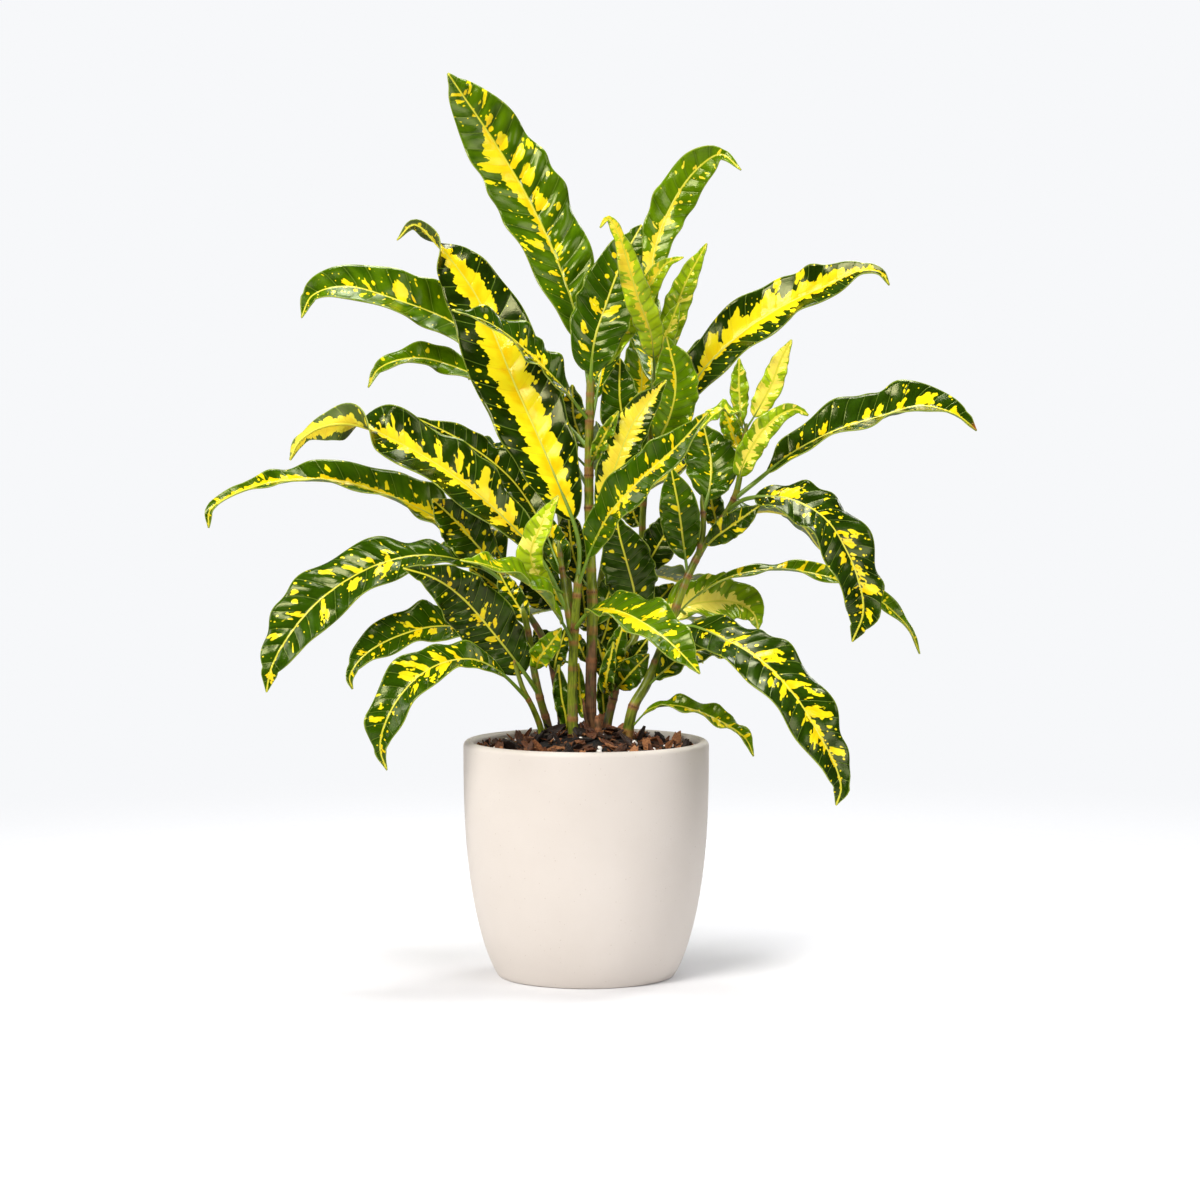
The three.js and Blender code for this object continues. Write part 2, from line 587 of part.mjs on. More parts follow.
let leafCount = 0;
for (const [name, { branches, leaves }] of Object.entries(stems)) {
  const grown = branches.map((branch, i) => branchSolid(branch, i === 0));
  let stem = grown.map(({ solid }) => solid).reduce((a, b) => a.add(b));
  for (const one of leaves) {
    const root = pointAtHeight(grown[one.branch].curve, one.height);
    const phase = (leafCount * 0.618) % 1;
    stem = stem.add(solidOf(leafGeometry(one, root, phase)));
    leafCount += 1;
  }
  addPiece(name, geometryOf(mainBody(stem)), 0x3f6b10, 0.35);
}

addPiece('cut_stub', geometryOf(branchSolid(stub, true).solid), 0x8a5240, 0.8);
addPiece('pot', potGeometry(), 0xece4da, 0.75);
addPiece('soil', geometryOf(soilSolid(holes)), 0x3a2418, 0.95);

export default group;
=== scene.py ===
import math
import random
from functools import partial

import bpy
import numpy as np
from mathutils import Matrix, Vector


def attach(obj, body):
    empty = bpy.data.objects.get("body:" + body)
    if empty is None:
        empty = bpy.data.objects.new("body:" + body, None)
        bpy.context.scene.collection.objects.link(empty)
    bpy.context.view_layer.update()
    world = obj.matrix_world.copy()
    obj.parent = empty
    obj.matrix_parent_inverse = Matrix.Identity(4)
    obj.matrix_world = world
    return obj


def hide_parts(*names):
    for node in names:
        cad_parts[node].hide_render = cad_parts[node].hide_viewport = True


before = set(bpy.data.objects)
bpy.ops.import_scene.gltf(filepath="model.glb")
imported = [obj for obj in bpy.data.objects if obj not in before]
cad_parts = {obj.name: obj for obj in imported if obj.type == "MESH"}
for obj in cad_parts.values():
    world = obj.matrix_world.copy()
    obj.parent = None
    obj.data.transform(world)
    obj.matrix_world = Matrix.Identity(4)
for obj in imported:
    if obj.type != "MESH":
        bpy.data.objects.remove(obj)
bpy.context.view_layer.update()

mm = 0.001

# A potted croton: glossy variegated leaves on upright stems, bark soil and a matt stoneware pot.
# All sizes below are millimetres, in the CAD's frame. Meshes are turned to metres as they are written.


# ---- Small tools

def hexColour(code):
    channels = [int(code[i:i + 2], 16) / 255 for i in (1, 3, 5)]
    linear = [c / 12.92 if c <= 0.04045 else ((c + 0.055) / 1.055) ** 2.4 for c in channels]
    return (*linear, 1.0)


# Sets a node's inputs, each to a value, a colour's code or another node's output.
def setInputs(node, inputs):
    for socket, value in inputs.items() if isinstance(inputs, dict) else enumerate(inputs):
        if isinstance(value, bpy.types.NodeSocket):
            node.id_data.links.new(value, node.inputs[socket])
        else:
            node.inputs[socket].default_value = hexColour(value) if isinstance(value, str) else value


# Adds a node with its settings and links, and gives back one of its outputs. A second word of the kind is
# what the node works out, and stops are the places and colours of a colour ramp.
def addNode(tree, kind, inputs=(), output=0, stops=(), **settings):
    kind, *operation = kind.split()
    node = tree.nodes.new("ShaderNode" + kind)
    if operation:
        node.operation = operation[0]
    for name, value in settings.items():
        setattr(node, name, value)
    setInputs(node, inputs)
    for i, (at, code) in enumerate(stops):
        stop = node.color_ramp.elements[i] if i < 2 else node.color_ramp.elements.new(at)
        stop.position = at
        stop.color = hexColour(code)
    return node.outputs[output]


# A new material, its main shader, and addNode for its own nodes
def newFinish(name):
    finish = bpy.data.materials.new(name)
    finish.use_nodes = True
    return finish, finish.node_tree.nodes["Principled BSDF"], partial(addNode, finish.node_tree)


# What a Mix node needs to blend colours: its share is input 0, and its colours are inputs 6 and 7.
mixColours = {"output": 2, "data_type": "RGBA"}


def selectOnly(*pieces):
    bpy.ops.object.select_all(action="DESELECT")
    for piece in pieces:
        piece.select_set(True)
    bpy.context.view_layer.objects.active = pieces[0]


# Adds a primitive by the operator given, with nothing else selected.
def addShape(name, operator, finish, **settings):
    bpy.ops.object.select_all(action="DESELECT")
    operator(**settings)
    shape = bpy.context.object
    shape.name = name
    shape.data.materials.append(finish)
    return shape


def joinPieces(pieces, name):
    selectOnly(*pieces)
    if len(pieces) > 1:
        bpy.ops.object.join()
    joined = bpy.context.object
    joined.name = joined.data.name = name
    return joined


# Runs an operator in edit mode on the whole of a piece.
def editWhole(piece, operator, **settings):
    selectOnly(piece)
    bpy.ops.object.mode_set(mode="EDIT")
    bpy.ops.mesh.select_all(action="SELECT")
    operator(**settings)
    bpy.ops.object.mode_set(mode="OBJECT")


def mergeSeams(piece):
    editWhole(piece, bpy.ops.mesh.remove_doubles, threshold=0.004 * mm)


def readPoints(piece):
    return np.array([point.co for point in piece.data.vertices])


def writePoints(piece, points):
    piece.data.vertices.foreach_set("co", points.astype(np.float32).ravel())
    piece.data.update()


# Writes one value or one row of three for each point of a piece, or for each corner of its faces.
def writeValues(piece, name, values):
    kind, field = ("FLOAT", "value") if values.ndim == 1 else ("FLOAT_VECTOR", "vector")
    domain = "POINT" if len(values) == len(piece.data.vertices) else "CORNER"
    attribute = piece.data.attributes.new(name, kind, domain)
    attribute.data.foreach_set(field, values.astype(np.float32).ravel())


# A flat grid whose points are then set to the places given, in rows of columns.
def addSheet(name, places, finish):
    sheet = addShape(name, bpy.ops.mesh.primitive_grid_add, finish, size=1,
                     x_subdivisions=places.shape[1] - 1, y_subdivisions=places.shape[0] - 1)
    writePoints(sheet, places * mm)
    sheet.data.shade_smooth()
    return sheet


# Rings of the given radii round a centre line, closed along the seam. A ring of radius 0 closes an end.
def addTube(name, centres, outs, acrosses, radii, sides, finish):
    turns = np.linspace(0, 2 * np.pi, sides + 1)[None, :, None]
    ring = outs[:, None] * np.cos(turns) + acrosses[:, None] * np.sin(turns)
    return addSheet(name, centres[:, None] + ring * radii[:, None, None], finish)


# A turned form round the pot's axis, from pairs of radius and height.
def addTurned(name, profile, sides, finish):
    radii, heights = np.array(profile, float).T
    centres = np.outer(heights, (0, 0, 1))
    outs, acrosses = [np.tile(axis, (len(radii), 1)) for axis in ((1.0, 0, 0), (0, 1.0, 0))]
    piece = addTube(name, centres, outs, acrosses, radii, sides, finish)
    piece.data.name = name
    mergeSeams(piece)
    return piece


def onRoot(piece, node):
    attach(piece, "root")
    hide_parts(node)


def smoothStep(x, low, high):
    share = np.clip((x - low) / (high - low), 0, 1)
    return share * share * (3 - 2 * share)


def unit(vectors):
    return vectors / np.linalg.norm(vectors, axis=-1, keepdims=True)


# ---- Camera, light and floor

# Where the photograph was taken from. The plant is laid out as it shows from here.
eye = (9, -2270, 392)
studio = {
    "lens": 105, "sensor": 36, "pitch": -3.7, "reach": 50,                       # the reach in metres
    "floor": "#DCDCDE", "floorSides": 96, "floorFade": (0.12, 1.2),              # metres
    "sky": "#F7F8FA", "skyStrength": 0.12, "backdrop": 1.0,
    # name: place in metres, size in metres, watts, colour
    "lamps": {
        "keySoftbox": ((-1.3, -1.9, 1.9), 1.1, 88, "#FFFCF8"),
        "sideSoftbox": ((-2.0, 0.2, 0.9), 1.0, 16, "#FFFFFF"),
        "fillSoftbox": ((1.7, -1.6, 1.1), 1.3, 26, "#FCFCFF"),
        "topSoftbox": ((0.2, 0.4, 2.3), 0.9, 46, "#FFFFFF"),
        "rimSoftbox": ((1.2, 1.5, 1.3), 0.9, 18, "#FFFFFF"),
    },
    "aim": (0, 0, 0.3),
}


def addToScene(name, data, place):
    thing = bpy.data.objects.new(name, data)
    thing.location = place
    bpy.context.scene.collection.objects.link(thing)
    return thing


def makeStudio():
    scene = bpy.context.scene
    lens = bpy.data.cameras.new("photoCamera")
    lens.lens = studio["lens"]
    lens.sensor_width = studio["sensor"]
    lens.clip_end = studio["reach"]
    scene.camera = addToScene("photoCamera", lens, Vector(eye) * mm)
    scene.camera.rotation_euler = (math.radians(90 + studio["pitch"]), 0, 0)
    for name, (place, size, watts, colour) in studio["lamps"].items():
        lamp = bpy.data.lights.new(name, "AREA")
        lamp.size = size
        lamp.energy = watts
        lamp.color = hexColour(colour)[:3]
        towards = Vector(studio["aim"]) - Vector(place)
        addToScene(name, lamp, place).rotation_euler = towards.to_track_quat("-Z", "Y").to_euler()
    scene.view_settings.view_transform = "Standard"

    # The backdrop is seen brighter than the light it gives, as paper with lamps of its own is.
    scene.world = bpy.data.worlds.new("studioSky")
    scene.world.use_nodes = True
    tree = scene.world.node_tree
    glow = tree.nodes["Background"]
    setInputs(glow, {"Color": studio["sky"], "Strength": studio["skyStrength"]})
    shown = addNode(tree, "Background", {"Color": studio["sky"], "Strength": studio["backdrop"]})
    seenRay = addNode(tree, "LightPath", output="Is Camera Ray")
    both = addNode(tree, "MixShader", [seenRay, glow.outputs[0], shown])
    setInputs(tree.nodes["World Output"], {"Surface": both})

    # The floor is pale paper that fades into the backdrop further off.
    near, gone = studio["floorFade"]
    paper, shader, add = newFinish("palePaper")
    setInputs(shader, {"Base Color": studio["floor"], "Roughness": 0.9})
    far = add("VectorMath LENGTH", [add("TexCoord", output="Object")], output="Value")
    fade = add("MapRange", [far, near, gone * 0.98], interpolation_type="SMOOTHSTEP")
    mixed = add("MixShader", [fade, shader.outputs[0], add("BsdfTransparent")])
    setInputs(paper.node_tree.nodes["Material Output"], {"Surface": mixed})
    addShape("studioFloor", bpy.ops.mesh.primitive_circle_add, paper, radius=gone,
                      vertices=studio["floorSides"], fill_type="NGON")
    print("studio: camera,", len(studio["lamps"]), "softboxes and floor")


makeStudio()


# ---- Finishes of the leaves and stems

leafColours = {
    "greens": ((0.0, "#122300"), (0.3, "#305000"), (0.6, "#6A8E02"), (1.0, "#C0D61C")),
    "golden": "#EBC008", "lemon": "#F0DC18", "cream": "#F6F092", "veinOnYellow": "#C79A10",
    # the groove colour is painted shade: it darkens the creases beside the side veins
    "vein": "#84A230", "grooveShade": "#B4BC9C", "midrib": "#D8D034", "margin": "#93A436",
    "dryTip": "#8A4A22", "underside": "#8C9E52", "edge": ("#66801E", "#AEB43C"),
    "stalk": ("#68861A", "#DAD236"),
}
stemColours = {"green": ("#3A4706", "#8C981E"), "brown": ("#2A1A0C", "#84603C"), "cork": "#955F38",
               "scarLine": "#4E2E1A"}
# Noises are given as mm out along the side veins and mm along the midrib.
leafPattern = {
    "toothRate": 2.2, "toothDepth": 3.6,      # teeth of the yellow band: how many a side vein, mm deep
    "toothReach": 4.0,                        # a band narrower than this, mm, has smaller teeth
    "grain": (3.68, 2.3), "grainDepth": 2.2,  # fine noise on every yellow edge, mm deep
    "drift": (16, 7),                         # slow noise that crowds the spots and shifts the teeth
    "gnarl": (6, 4), "gnarlDepth": 6.0,       # what pulls a patch of a leaf's own out of round, mm deep
    "patch": (9.0, 5.5), "patchFrom": 0.765,  # patches away from the band
    "mottle": (14, 9),                        # old and young tissue, golden and lemon, more and less gloss
    # spots and flecks: mm between them, least size and how much more the most is, as shares of that
    "dots": ((8.0, 0.07, 0.17), (4.4, 0.08, 0.14)),
    "edge": 0.16,                             # softness of a patch's edge, mm
    # the groove width is how far the painted shade in the creases beside each side vein reaches
    "veinWidth": 0.04, "grooveShadeWidth": 0.2,    # shares of the space between side veins
    "pore": (0.8, 0.8), "pillow": 5.0,        # the leathery grain, and the pillows' height beside its 1
}


# Leathery cuticle over green tissue: a waxed, glossy blade with yellow where the green is missing. The
# yellow follows the side veins, so it is worked out in places measured from the midrib and along them:
#   veinPlace   mm from the midrib, mm along the rib where the place's side vein starts (own to each leaf)
#   yellowReach mm the yellow band reaches from the midrib
#   yellowBlob  mm inside the edge of the nearest of the leaf's own patches
#   leafTone    share of spots, youth of the leaf, paleness of its yellow
#   leafEdge    mm to the margin, mm to the midrib, side veins counted from the stalk
#   leafTear    how torn the band is, share of patches, a number own to each half of each leaf
def leafFinish(name, paleness, gloss):
    finish, shader, add = newFinish(name)
    p, c = leafPattern, leafColours
    reach, blob, dry = [add("Attribute", output="Fac", attribute_name=attribute)
                        for attribute in ("yellowReach", "yellowBlob", "dryTip")]
    place, tone, edge, tear = [add("Attribute", output="Vector", attribute_name=attribute)
                               for attribute in ("veinPlace", "leafTone", "leafEdge", "leafTear")]
    (across, start, _), (spotting, youth, pale), (toMargin, toRib, veinCount), (torn, patchy, own) = [
        add("SeparateXYZ", [vector]).node.outputs for vector in (place, tone, edge, tear)]
    own = add("Math ROUND", [own])

    def noise(across, along, detail=1):
        scaled = add("VectorMath MULTIPLY", [place, (1 / across, 1 / along, 1)])
        return add("TexNoise", {"Vector": scaled, "Scale": 1, "Detail": detail}, noise_dimensions="2D")

    grain = noise(*p["grain"])
    drift = noise(*p["drift"])
    mottle = noise(*p["mottle"], 2)

    # One lobe for each space between side veins (or a share of it), each with a length of its own
    def lobes(rate, power):
        count = add("Math MULTIPLY_ADD", [grain, 0.35, add("Math MULTIPLY_ADD", [veinCount, rate, drift])])
        cell = add("CombineXYZ", [add("Math FLOOR", [count]), own])
        length = add("TexWhiteNoise", {"Vector": cell}, noise_dimensions="2D")
        hump = add("Math MULTIPLY", [add("Math PINGPONG", [count, 0.5]), 2])
        return add("Math MULTIPLY", [add("Math POWER", [hump, power]), length])

    # The band: its reach, torn into lobes with teeth that all run along the side veins
    stretch = add("Math MULTIPLY_ADD", [lobes(1, 0.4), 2.2, -1])
    stretch = add("Math MULTIPLY_ADD", [stretch, torn, 1])
    teeth = add("MapRange", [reach, 0, p["toothReach"], 0, p["toothDepth"]])
    tooth = add("Math SUBTRACT", [lobes(p["toothRate"], 0.7), 0.3])
    band = add("Math MULTIPLY_ADD", [tooth, teeth, add("Math MULTIPLY", [stretch, reach])])
    band = add("Math SUBTRACT", [band, toRib])
    # The leaf's own patches, pulled out of round, and the grain of every edge
    blob = add("Math MULTIPLY_ADD", [noise(*p["gnarl"]), p["gnarlDepth"], blob])
    blob = add("Math SUBTRACT", [blob, p["gnarlDepth"] / 2])
    field = add("Math MULTIPLY_ADD", [grain, p["grainDepth"], add("Math MAXIMUM", [band, blob])])
    middle = p["grainDepth"] / 2
    masks = [add("MapRange", [field, middle - p["edge"], middle + p["edge"]])]

    # Patches away from the band, fewer further out
    patches = noise(*p["patch"])
    for source, share in ((toRib, -0.006), (patchy, 0.3), (grain, 0.08)):
        patches = add("Math MULTIPLY_ADD", [source, share, patches])
    masks.append(add("MapRange", [patches, p["patchFrom"], p["patchFrom"] + 0.02]))

    # Spots and flecks: cells of two sizes, each with a dot of its own size or none
    crowd = add("Math MULTIPLY", [drift, spotting])
    square = add("CombineXYZ", [across, add("Math MULTIPLY_ADD", [across, 0.4, start])])
    for gap, least, more in p["dots"]:
        spread = add("VectorMath MULTIPLY", [square, (1 / gap, 1.15 / gap, 1)])
        cells = add("TexVoronoi", {"Vector": spread, "Scale": 1}, "Distance", voronoi_dimensions="2D")
        big, picked, _ = add("SeparateColor", [cells.node.outputs["Color"]]).node.outputs
        size = add("Math MULTIPLY_ADD", [add("Math POWER", [big, 2]), more, least])
        size = add("Math SUBTRACT", [add("Math MULTIPLY_ADD", [grain, 0.1, size]), 0.05])
        dot = add("MapRange", [add("Math SUBTRACT", [size, cells]), -0.02, 0.02])
        masks.append(add("Math MULTIPLY", [dot, add("Math LESS_THAN", [picked, crowd])]))
    yellowness = masks[0]
    for mask in masks[1:]:
        yellowness = add("Math MAXIMUM", [yellowness, mask])

    # Green: from the dark of an old leaf to the lime of a young one, mottled, and darkened beside its pale
    # side veins by painted shade in their creases
    aged = add("Math SUBTRACT", [add("Math MULTIPLY_ADD", [mottle, 0.3, youth]), 0.15])
    green = add("ValToRGB", [aged], stops=c["greens"])
    beside = add("Math PINGPONG", [veinCount, 0.5])
    vein = add("MapRange", [beside, 0, p["veinWidth"], 1, 0])
    # Painted shade: the green is darkened in a crease on each side of a side vein, where the pillows dip
    grooveShade = add("MapRange", [beside, 0, p["grooveShadeWidth"], 0.8, 0])
    green = add("Mix", {0: grooveShade, 6: green, 7: c["grooveShade"]}, blend_type="MULTIPLY", **mixColours)
    green = add("Mix", {0: add("Math MULTIPLY", [vein, 0.45]), 6: green, 7: c["vein"]}, **mixColours)

    # Yellow: golden by the midrib, lemon further out, cream on pale leaves
    outward = add("Math MULTIPLY_ADD", [toRib, 0.05, mottle])
    lemon = add("Math MAXIMUM", [add("MapRange", [outward, 0.4, 0.8]), pale])
    creamy = add("Math MULTIPLY_ADD", [pale, 0.7, -0.25], use_clamp=True)
    yellow = add("Mix", {0: lemon, 6: c["golden"], 7: c["lemon"]}, **mixColours)
    for share, over in ((creamy, "cream"), (add("Math MULTIPLY", [vein, 0.25]), "veinOnYellow")):
        yellow = add("Mix", {0: share, 6: yellow, 7: c[over]}, **mixColours)

    # Over both: the midrib's line, a pale margin, a dried tip, and an underside's paler skin
    colour = add("Mix", {0: yellowness, 6: green, 7: yellow}, **mixColours)
    rib = add("MapRange", [toRib, 0.35, 0.8, 1, 0])
    rim = add("MapRange", [toMargin, 0.2, 0.7, 0.6, 0])
    for share, over in ((rib, "midrib"), (rim, "margin"), (dry, "dryTip"), (paleness, "underside")):
        colour = add("Mix", {0: share, 6: colour, 7: c[over]}, **mixColours)

    # Wax: gloss that varies a little, over sunk veins and a fine leathery grain
    pillow = add("Math POWER", [beside, 0.5])
    height = add("Math MULTIPLY_ADD", [pillow, p["pillow"], noise(*p["pore"], 2)])
    setInputs(shader, {
        "Base Color": colour, "Roughness": add("MapRange", [mottle, 0.3, 0.7, gloss - 0.05, gloss + 0.09]),
        "Normal": add("Bump", {"Strength": 0.8, "Distance": 0.1 * mm, "Height": height}),
        "Specular IOR Level": 0.32, "Specular Tint": (1, 1, 0.5, 1),
        "Subsurface Weight": 0.2, "Subsurface Radius": (1, 1, 0.15), "Subsurface Scale": 1 * mm})
    return finish


# The thin cut-looking edge of a blade, where the two skins meet with little green between
def marginFinish():
    finish, shader, add = newFinish("leafMargin")
    shade = add("TexNoise", {"Vector": add("TexCoord", output="Object"), "Scale": 90, "Detail": 2})
    dark, light = leafColours["edge"]
    colour = add("Mix", {0: shade, 6: dark, 7: light}, **mixColours)
    setInputs(shader, {"Base Color": colour, "Roughness": 0.42})
    return finish


# Midrib and leaf stalk: smooth fleshy tissue, green at the stalk and yellow along the blade.
#   stemPlace  mm round, mm along, share of yellow
def ribFinish():
    finish, shader, add = newFinish("leafStalkAndMidrib")
    place = add("Attribute", output="Vector", attribute_name="stemPlace")
    yellowness = add("SeparateXYZ", [place]).node.outputs[2]
    stretched = add("VectorMath MULTIPLY", [place, (1.2, 0.12, 1)])
    streaks = add("TexNoise", {"Vector": stretched, "Scale": 1, "Detail": 3})
    tone = add("Math MULTIPLY_ADD", [streaks, 0.5, yellowness])
    tone = add("Math SUBTRACT", [tone, 0.25], use_clamp=True)
    green, yellow = leafColours["stalk"]
    setInputs(shader, {"Base Color": add("Mix", {0: tone, 6: green, 7: yellow}, **mixColours),
                       "Normal": add("Bump", {"Strength": 0.3, "Distance": 0.2 * mm, "Height": streaks}),
                       "Roughness": 0.38})
    return finish


# Stem: green and smooth above, corky and brown lower down, with reddish scars where leaves have dropped.
#   stemPlace  mm round, mm along, woodiness      nodeRing  up to 1 on a scar, 0 away from it
def stemFinish():
    finish, shader, add = newFinish("stemSkinAndBark")
    place = add("Attribute", output="Vector", attribute_name="stemPlace")
    ring = add("Attribute", output="Fac", attribute_name="nodeRing")
    woodiness = add("SeparateXYZ", [place]).node.outputs[2]
    streaks, blotch = [
        add("TexNoise", {"Vector": add("VectorMath MULTIPLY", [place, (across, along, 1)]), "Scale": 1,
                         "Detail": detail, "Roughness": roughness})
        for across, along, detail, roughness in ((0.9, 0.1, 4, 0.6), (0.16, 0.09, 2, 0.5))]
    tone = add("Math MULTIPLY_ADD", [blotch, 1.2, streaks])
    tone = add("MapRange", [tone, 0.8, 1.4])
    wood = add("Math MULTIPLY_ADD", [blotch, 2.2, woodiness])
    wood = add("MapRange", [wood, 1.4, 1.75])
    scar = add("Math MULTIPLY_ADD", [streaks, 0.8, ring])
    green, brown = [add("Mix", {0: tone, 6: stemColours[part][0], 7: stemColours[part][1]}, **mixColours)
                    for part in ("green", "brown")]
    colour = add("Mix", {0: wood, 6: green, 7: brown}, **mixColours)
    for part, low, high, most in (("cork", 0.7, 1.2, 0.75), ("scarLine", 1.2, 1.35, 0.8)):
        share = add("MapRange", [scar, low, high, 0, most])
        colour = add("Mix", {0: share, 6: colour, 7: stemColours[part]}, **mixColours)
    setInputs(shader, {"Base Color": colour, "Roughness": add("MapRange", [wood, 0, 1, 0.33, 0.75]),
                       "Normal": add("Bump", {"Strength": 0.5, "Distance": 0.4 * mm, "Height": streaks}),
                       "Specular IOR Level": 0.35})
    return finish


bladeTop = leafFinish("waxedLeafTop", paleness=0, gloss=0.13)
bladeUnder = leafFinish("mattLeafUnderside", paleness=0.2, gloss=0.42)
bladeEdge = marginFinish()
ribSkin = ribFinish()
stemBark = stemFinish()
print("finishes: leaf top, underside, margin, rib and bark")


# ---- Leaves

leafDetail = {
    "stalkShare": 0.15, "stalkWidth": 3, "tipWidth": 0.9,   # the same as in the CAD
    "thickness": 0.7,
    "rowStep": 2.1, "rows": (26, 112),            # mm between rows of points, fewest and most rows
    "columnStep": 2.0, "columns": (5, 11),        # the same across each half
    "veinGap": 0.064, "veinLeast": 6,             # between side veins: share of the blade, least mm
    "veinLean": 0.5, "veinCurl": 0.009,           # how side veins run towards the tip on their way out
    "foldPower": 1.3, "waves": 3.5, "wave": 2.8,  # big waves of the margin: how many, mm
    "ruffles": 5.5,                               # small waves of the margin: how many
    "sway": (0.05, 1.5),                          # in and out, of the half-width, for a ruffle so high, mm
    "swell": 0.4, "dent": 0.6,                    # height of the pillows between side veins and of dents, mm
    "dents": ((5.1, 2.6, 31), (8.7, -2.1, 17)),   # two waves that cross: mm along, lean, start
    "apart": (41.3, 67.9, 3701),                  # mm in the pattern from leaf to leaf, and half to half
    "ribRadius": 1.2, "stalkRadius": 1.45, "ribTip": 0.45, "ribSides": 8, "ribStep": 3, "ribRows": (18, 70),
}


# Places and headings along a smooth line through the points (centripetal Catmull-Rom, as the CAD's).
def walk(points, shares):
    points = np.array(points, float)
    p = np.vstack([2 * points[0] - points[1], points, 2 * points[-1] - points[-2]])
    t = np.linspace(0, 1, 40, endpoint=False)[:, None]
    line = []
    for a, b, c, d in zip(p, p[1:], p[2:], p[3:]):
        ab, bc, cd = [np.linalg.norm(v) ** 0.5 for v in (b - a, c - b, d - c)]
        leave = ((b - a) / ab - (c - a) / (ab + bc) + (c - b) / bc) * bc
        arrive = ((c - b) / bc - (d - b) / (bc + cd) + (d - c) / cd) * bc
        line.append(b + leave * t + (3 * (c - b) - 2 * leave - arrive) * t ** 2
                    + (2 * (b - c) + leave + arrive) * t ** 3)
    line = np.vstack([*line, points[-1:]])
    lengths = np.concatenate([[0], np.cumsum(np.linalg.norm(np.diff(line, axis=0), axis=1))])
    at = np.asarray(shares) * lengths[-1]
    places, headings = [np.stack([np.interp(at, lengths, column) for column in rows.T], axis=1)
                        for rows in (line, np.gradient(line, lengths, axis=0))]
    return places, unit(headings), lengths[-1]


# Places given as [x, z, y]: x and z as they show in the plane through the pot's axis, y the depth.
def seen(points):
    x, z, y = np.array(points, float).T
    reach = (y - eye[1]) / -eye[1]
    return np.column_stack([eye[0] + (x - eye[0]) * reach, y, eye[2] + (z - eye[2]) * reach])


# Half-width of the blade as a share of its widest
def bladeOutline(along, one):
    rise = one["fullness"] * one["widest"] / (1 - one["widest"])
    peak = one["widest"] ** rise * (1 - one["widest"]) ** one["fullness"]
    body = np.minimum(along / (1 - one["drip"]), 1)
    return body ** rise * (1 - body) ** one["fullness"] / peak


# Centre line, side and upper direction of a leaf, the same as the CAD's, with the blade's half-width
def leafFrame(one, line, shares):
    d = leafDetail
    places, headings, _ = walk(line, shares)
    face, faceTo = [np.array(way, float) for way in (one["face"], one["tipFace"] or one["face"])]
    face = face + (faceTo - face) * shares[:, None]
    normals = unit(face - headings * np.sum(face * headings, axis=1, keepdims=True))
    twistFrom, twistTo, twistTurn = one["twist"]
    turn = (twistTurn * smoothStep(shares, twistFrom, twistTo))[:, None]
    normals = normals * np.cos(turn) + np.cross(headings, normals) * np.sin(turn)
    along = np.clip((shares - d["stalkShare"]) / (1 - d["stalkShare"]), 0, 1)
    drawnOut = np.clip((along - 1 + one["drip"]) / one["drip"], 0, 1)
    slim = np.where(along < one["widest"], d["stalkWidth"] * 0.6,
                    one["dripWidth"] + (d["tipWidth"] - one["dripWidth"]) * drawnOut)
    half = np.maximum(one["width"] / 2 * bladeOutline(along, one), slim / 2)
    return places, headings, normals, np.cross(headings, normals), along, half


# Rows of three for the points of a sheet, from three grids or values
def inRows(*columns):
    return np.stack(np.broadcast_arrays(*columns), axis=-1).reshape(-1, 3)


# The height of a wave, from -1 to 1, after so many turns
def swing(turns):
    return np.sin(turns * 2 * np.pi)


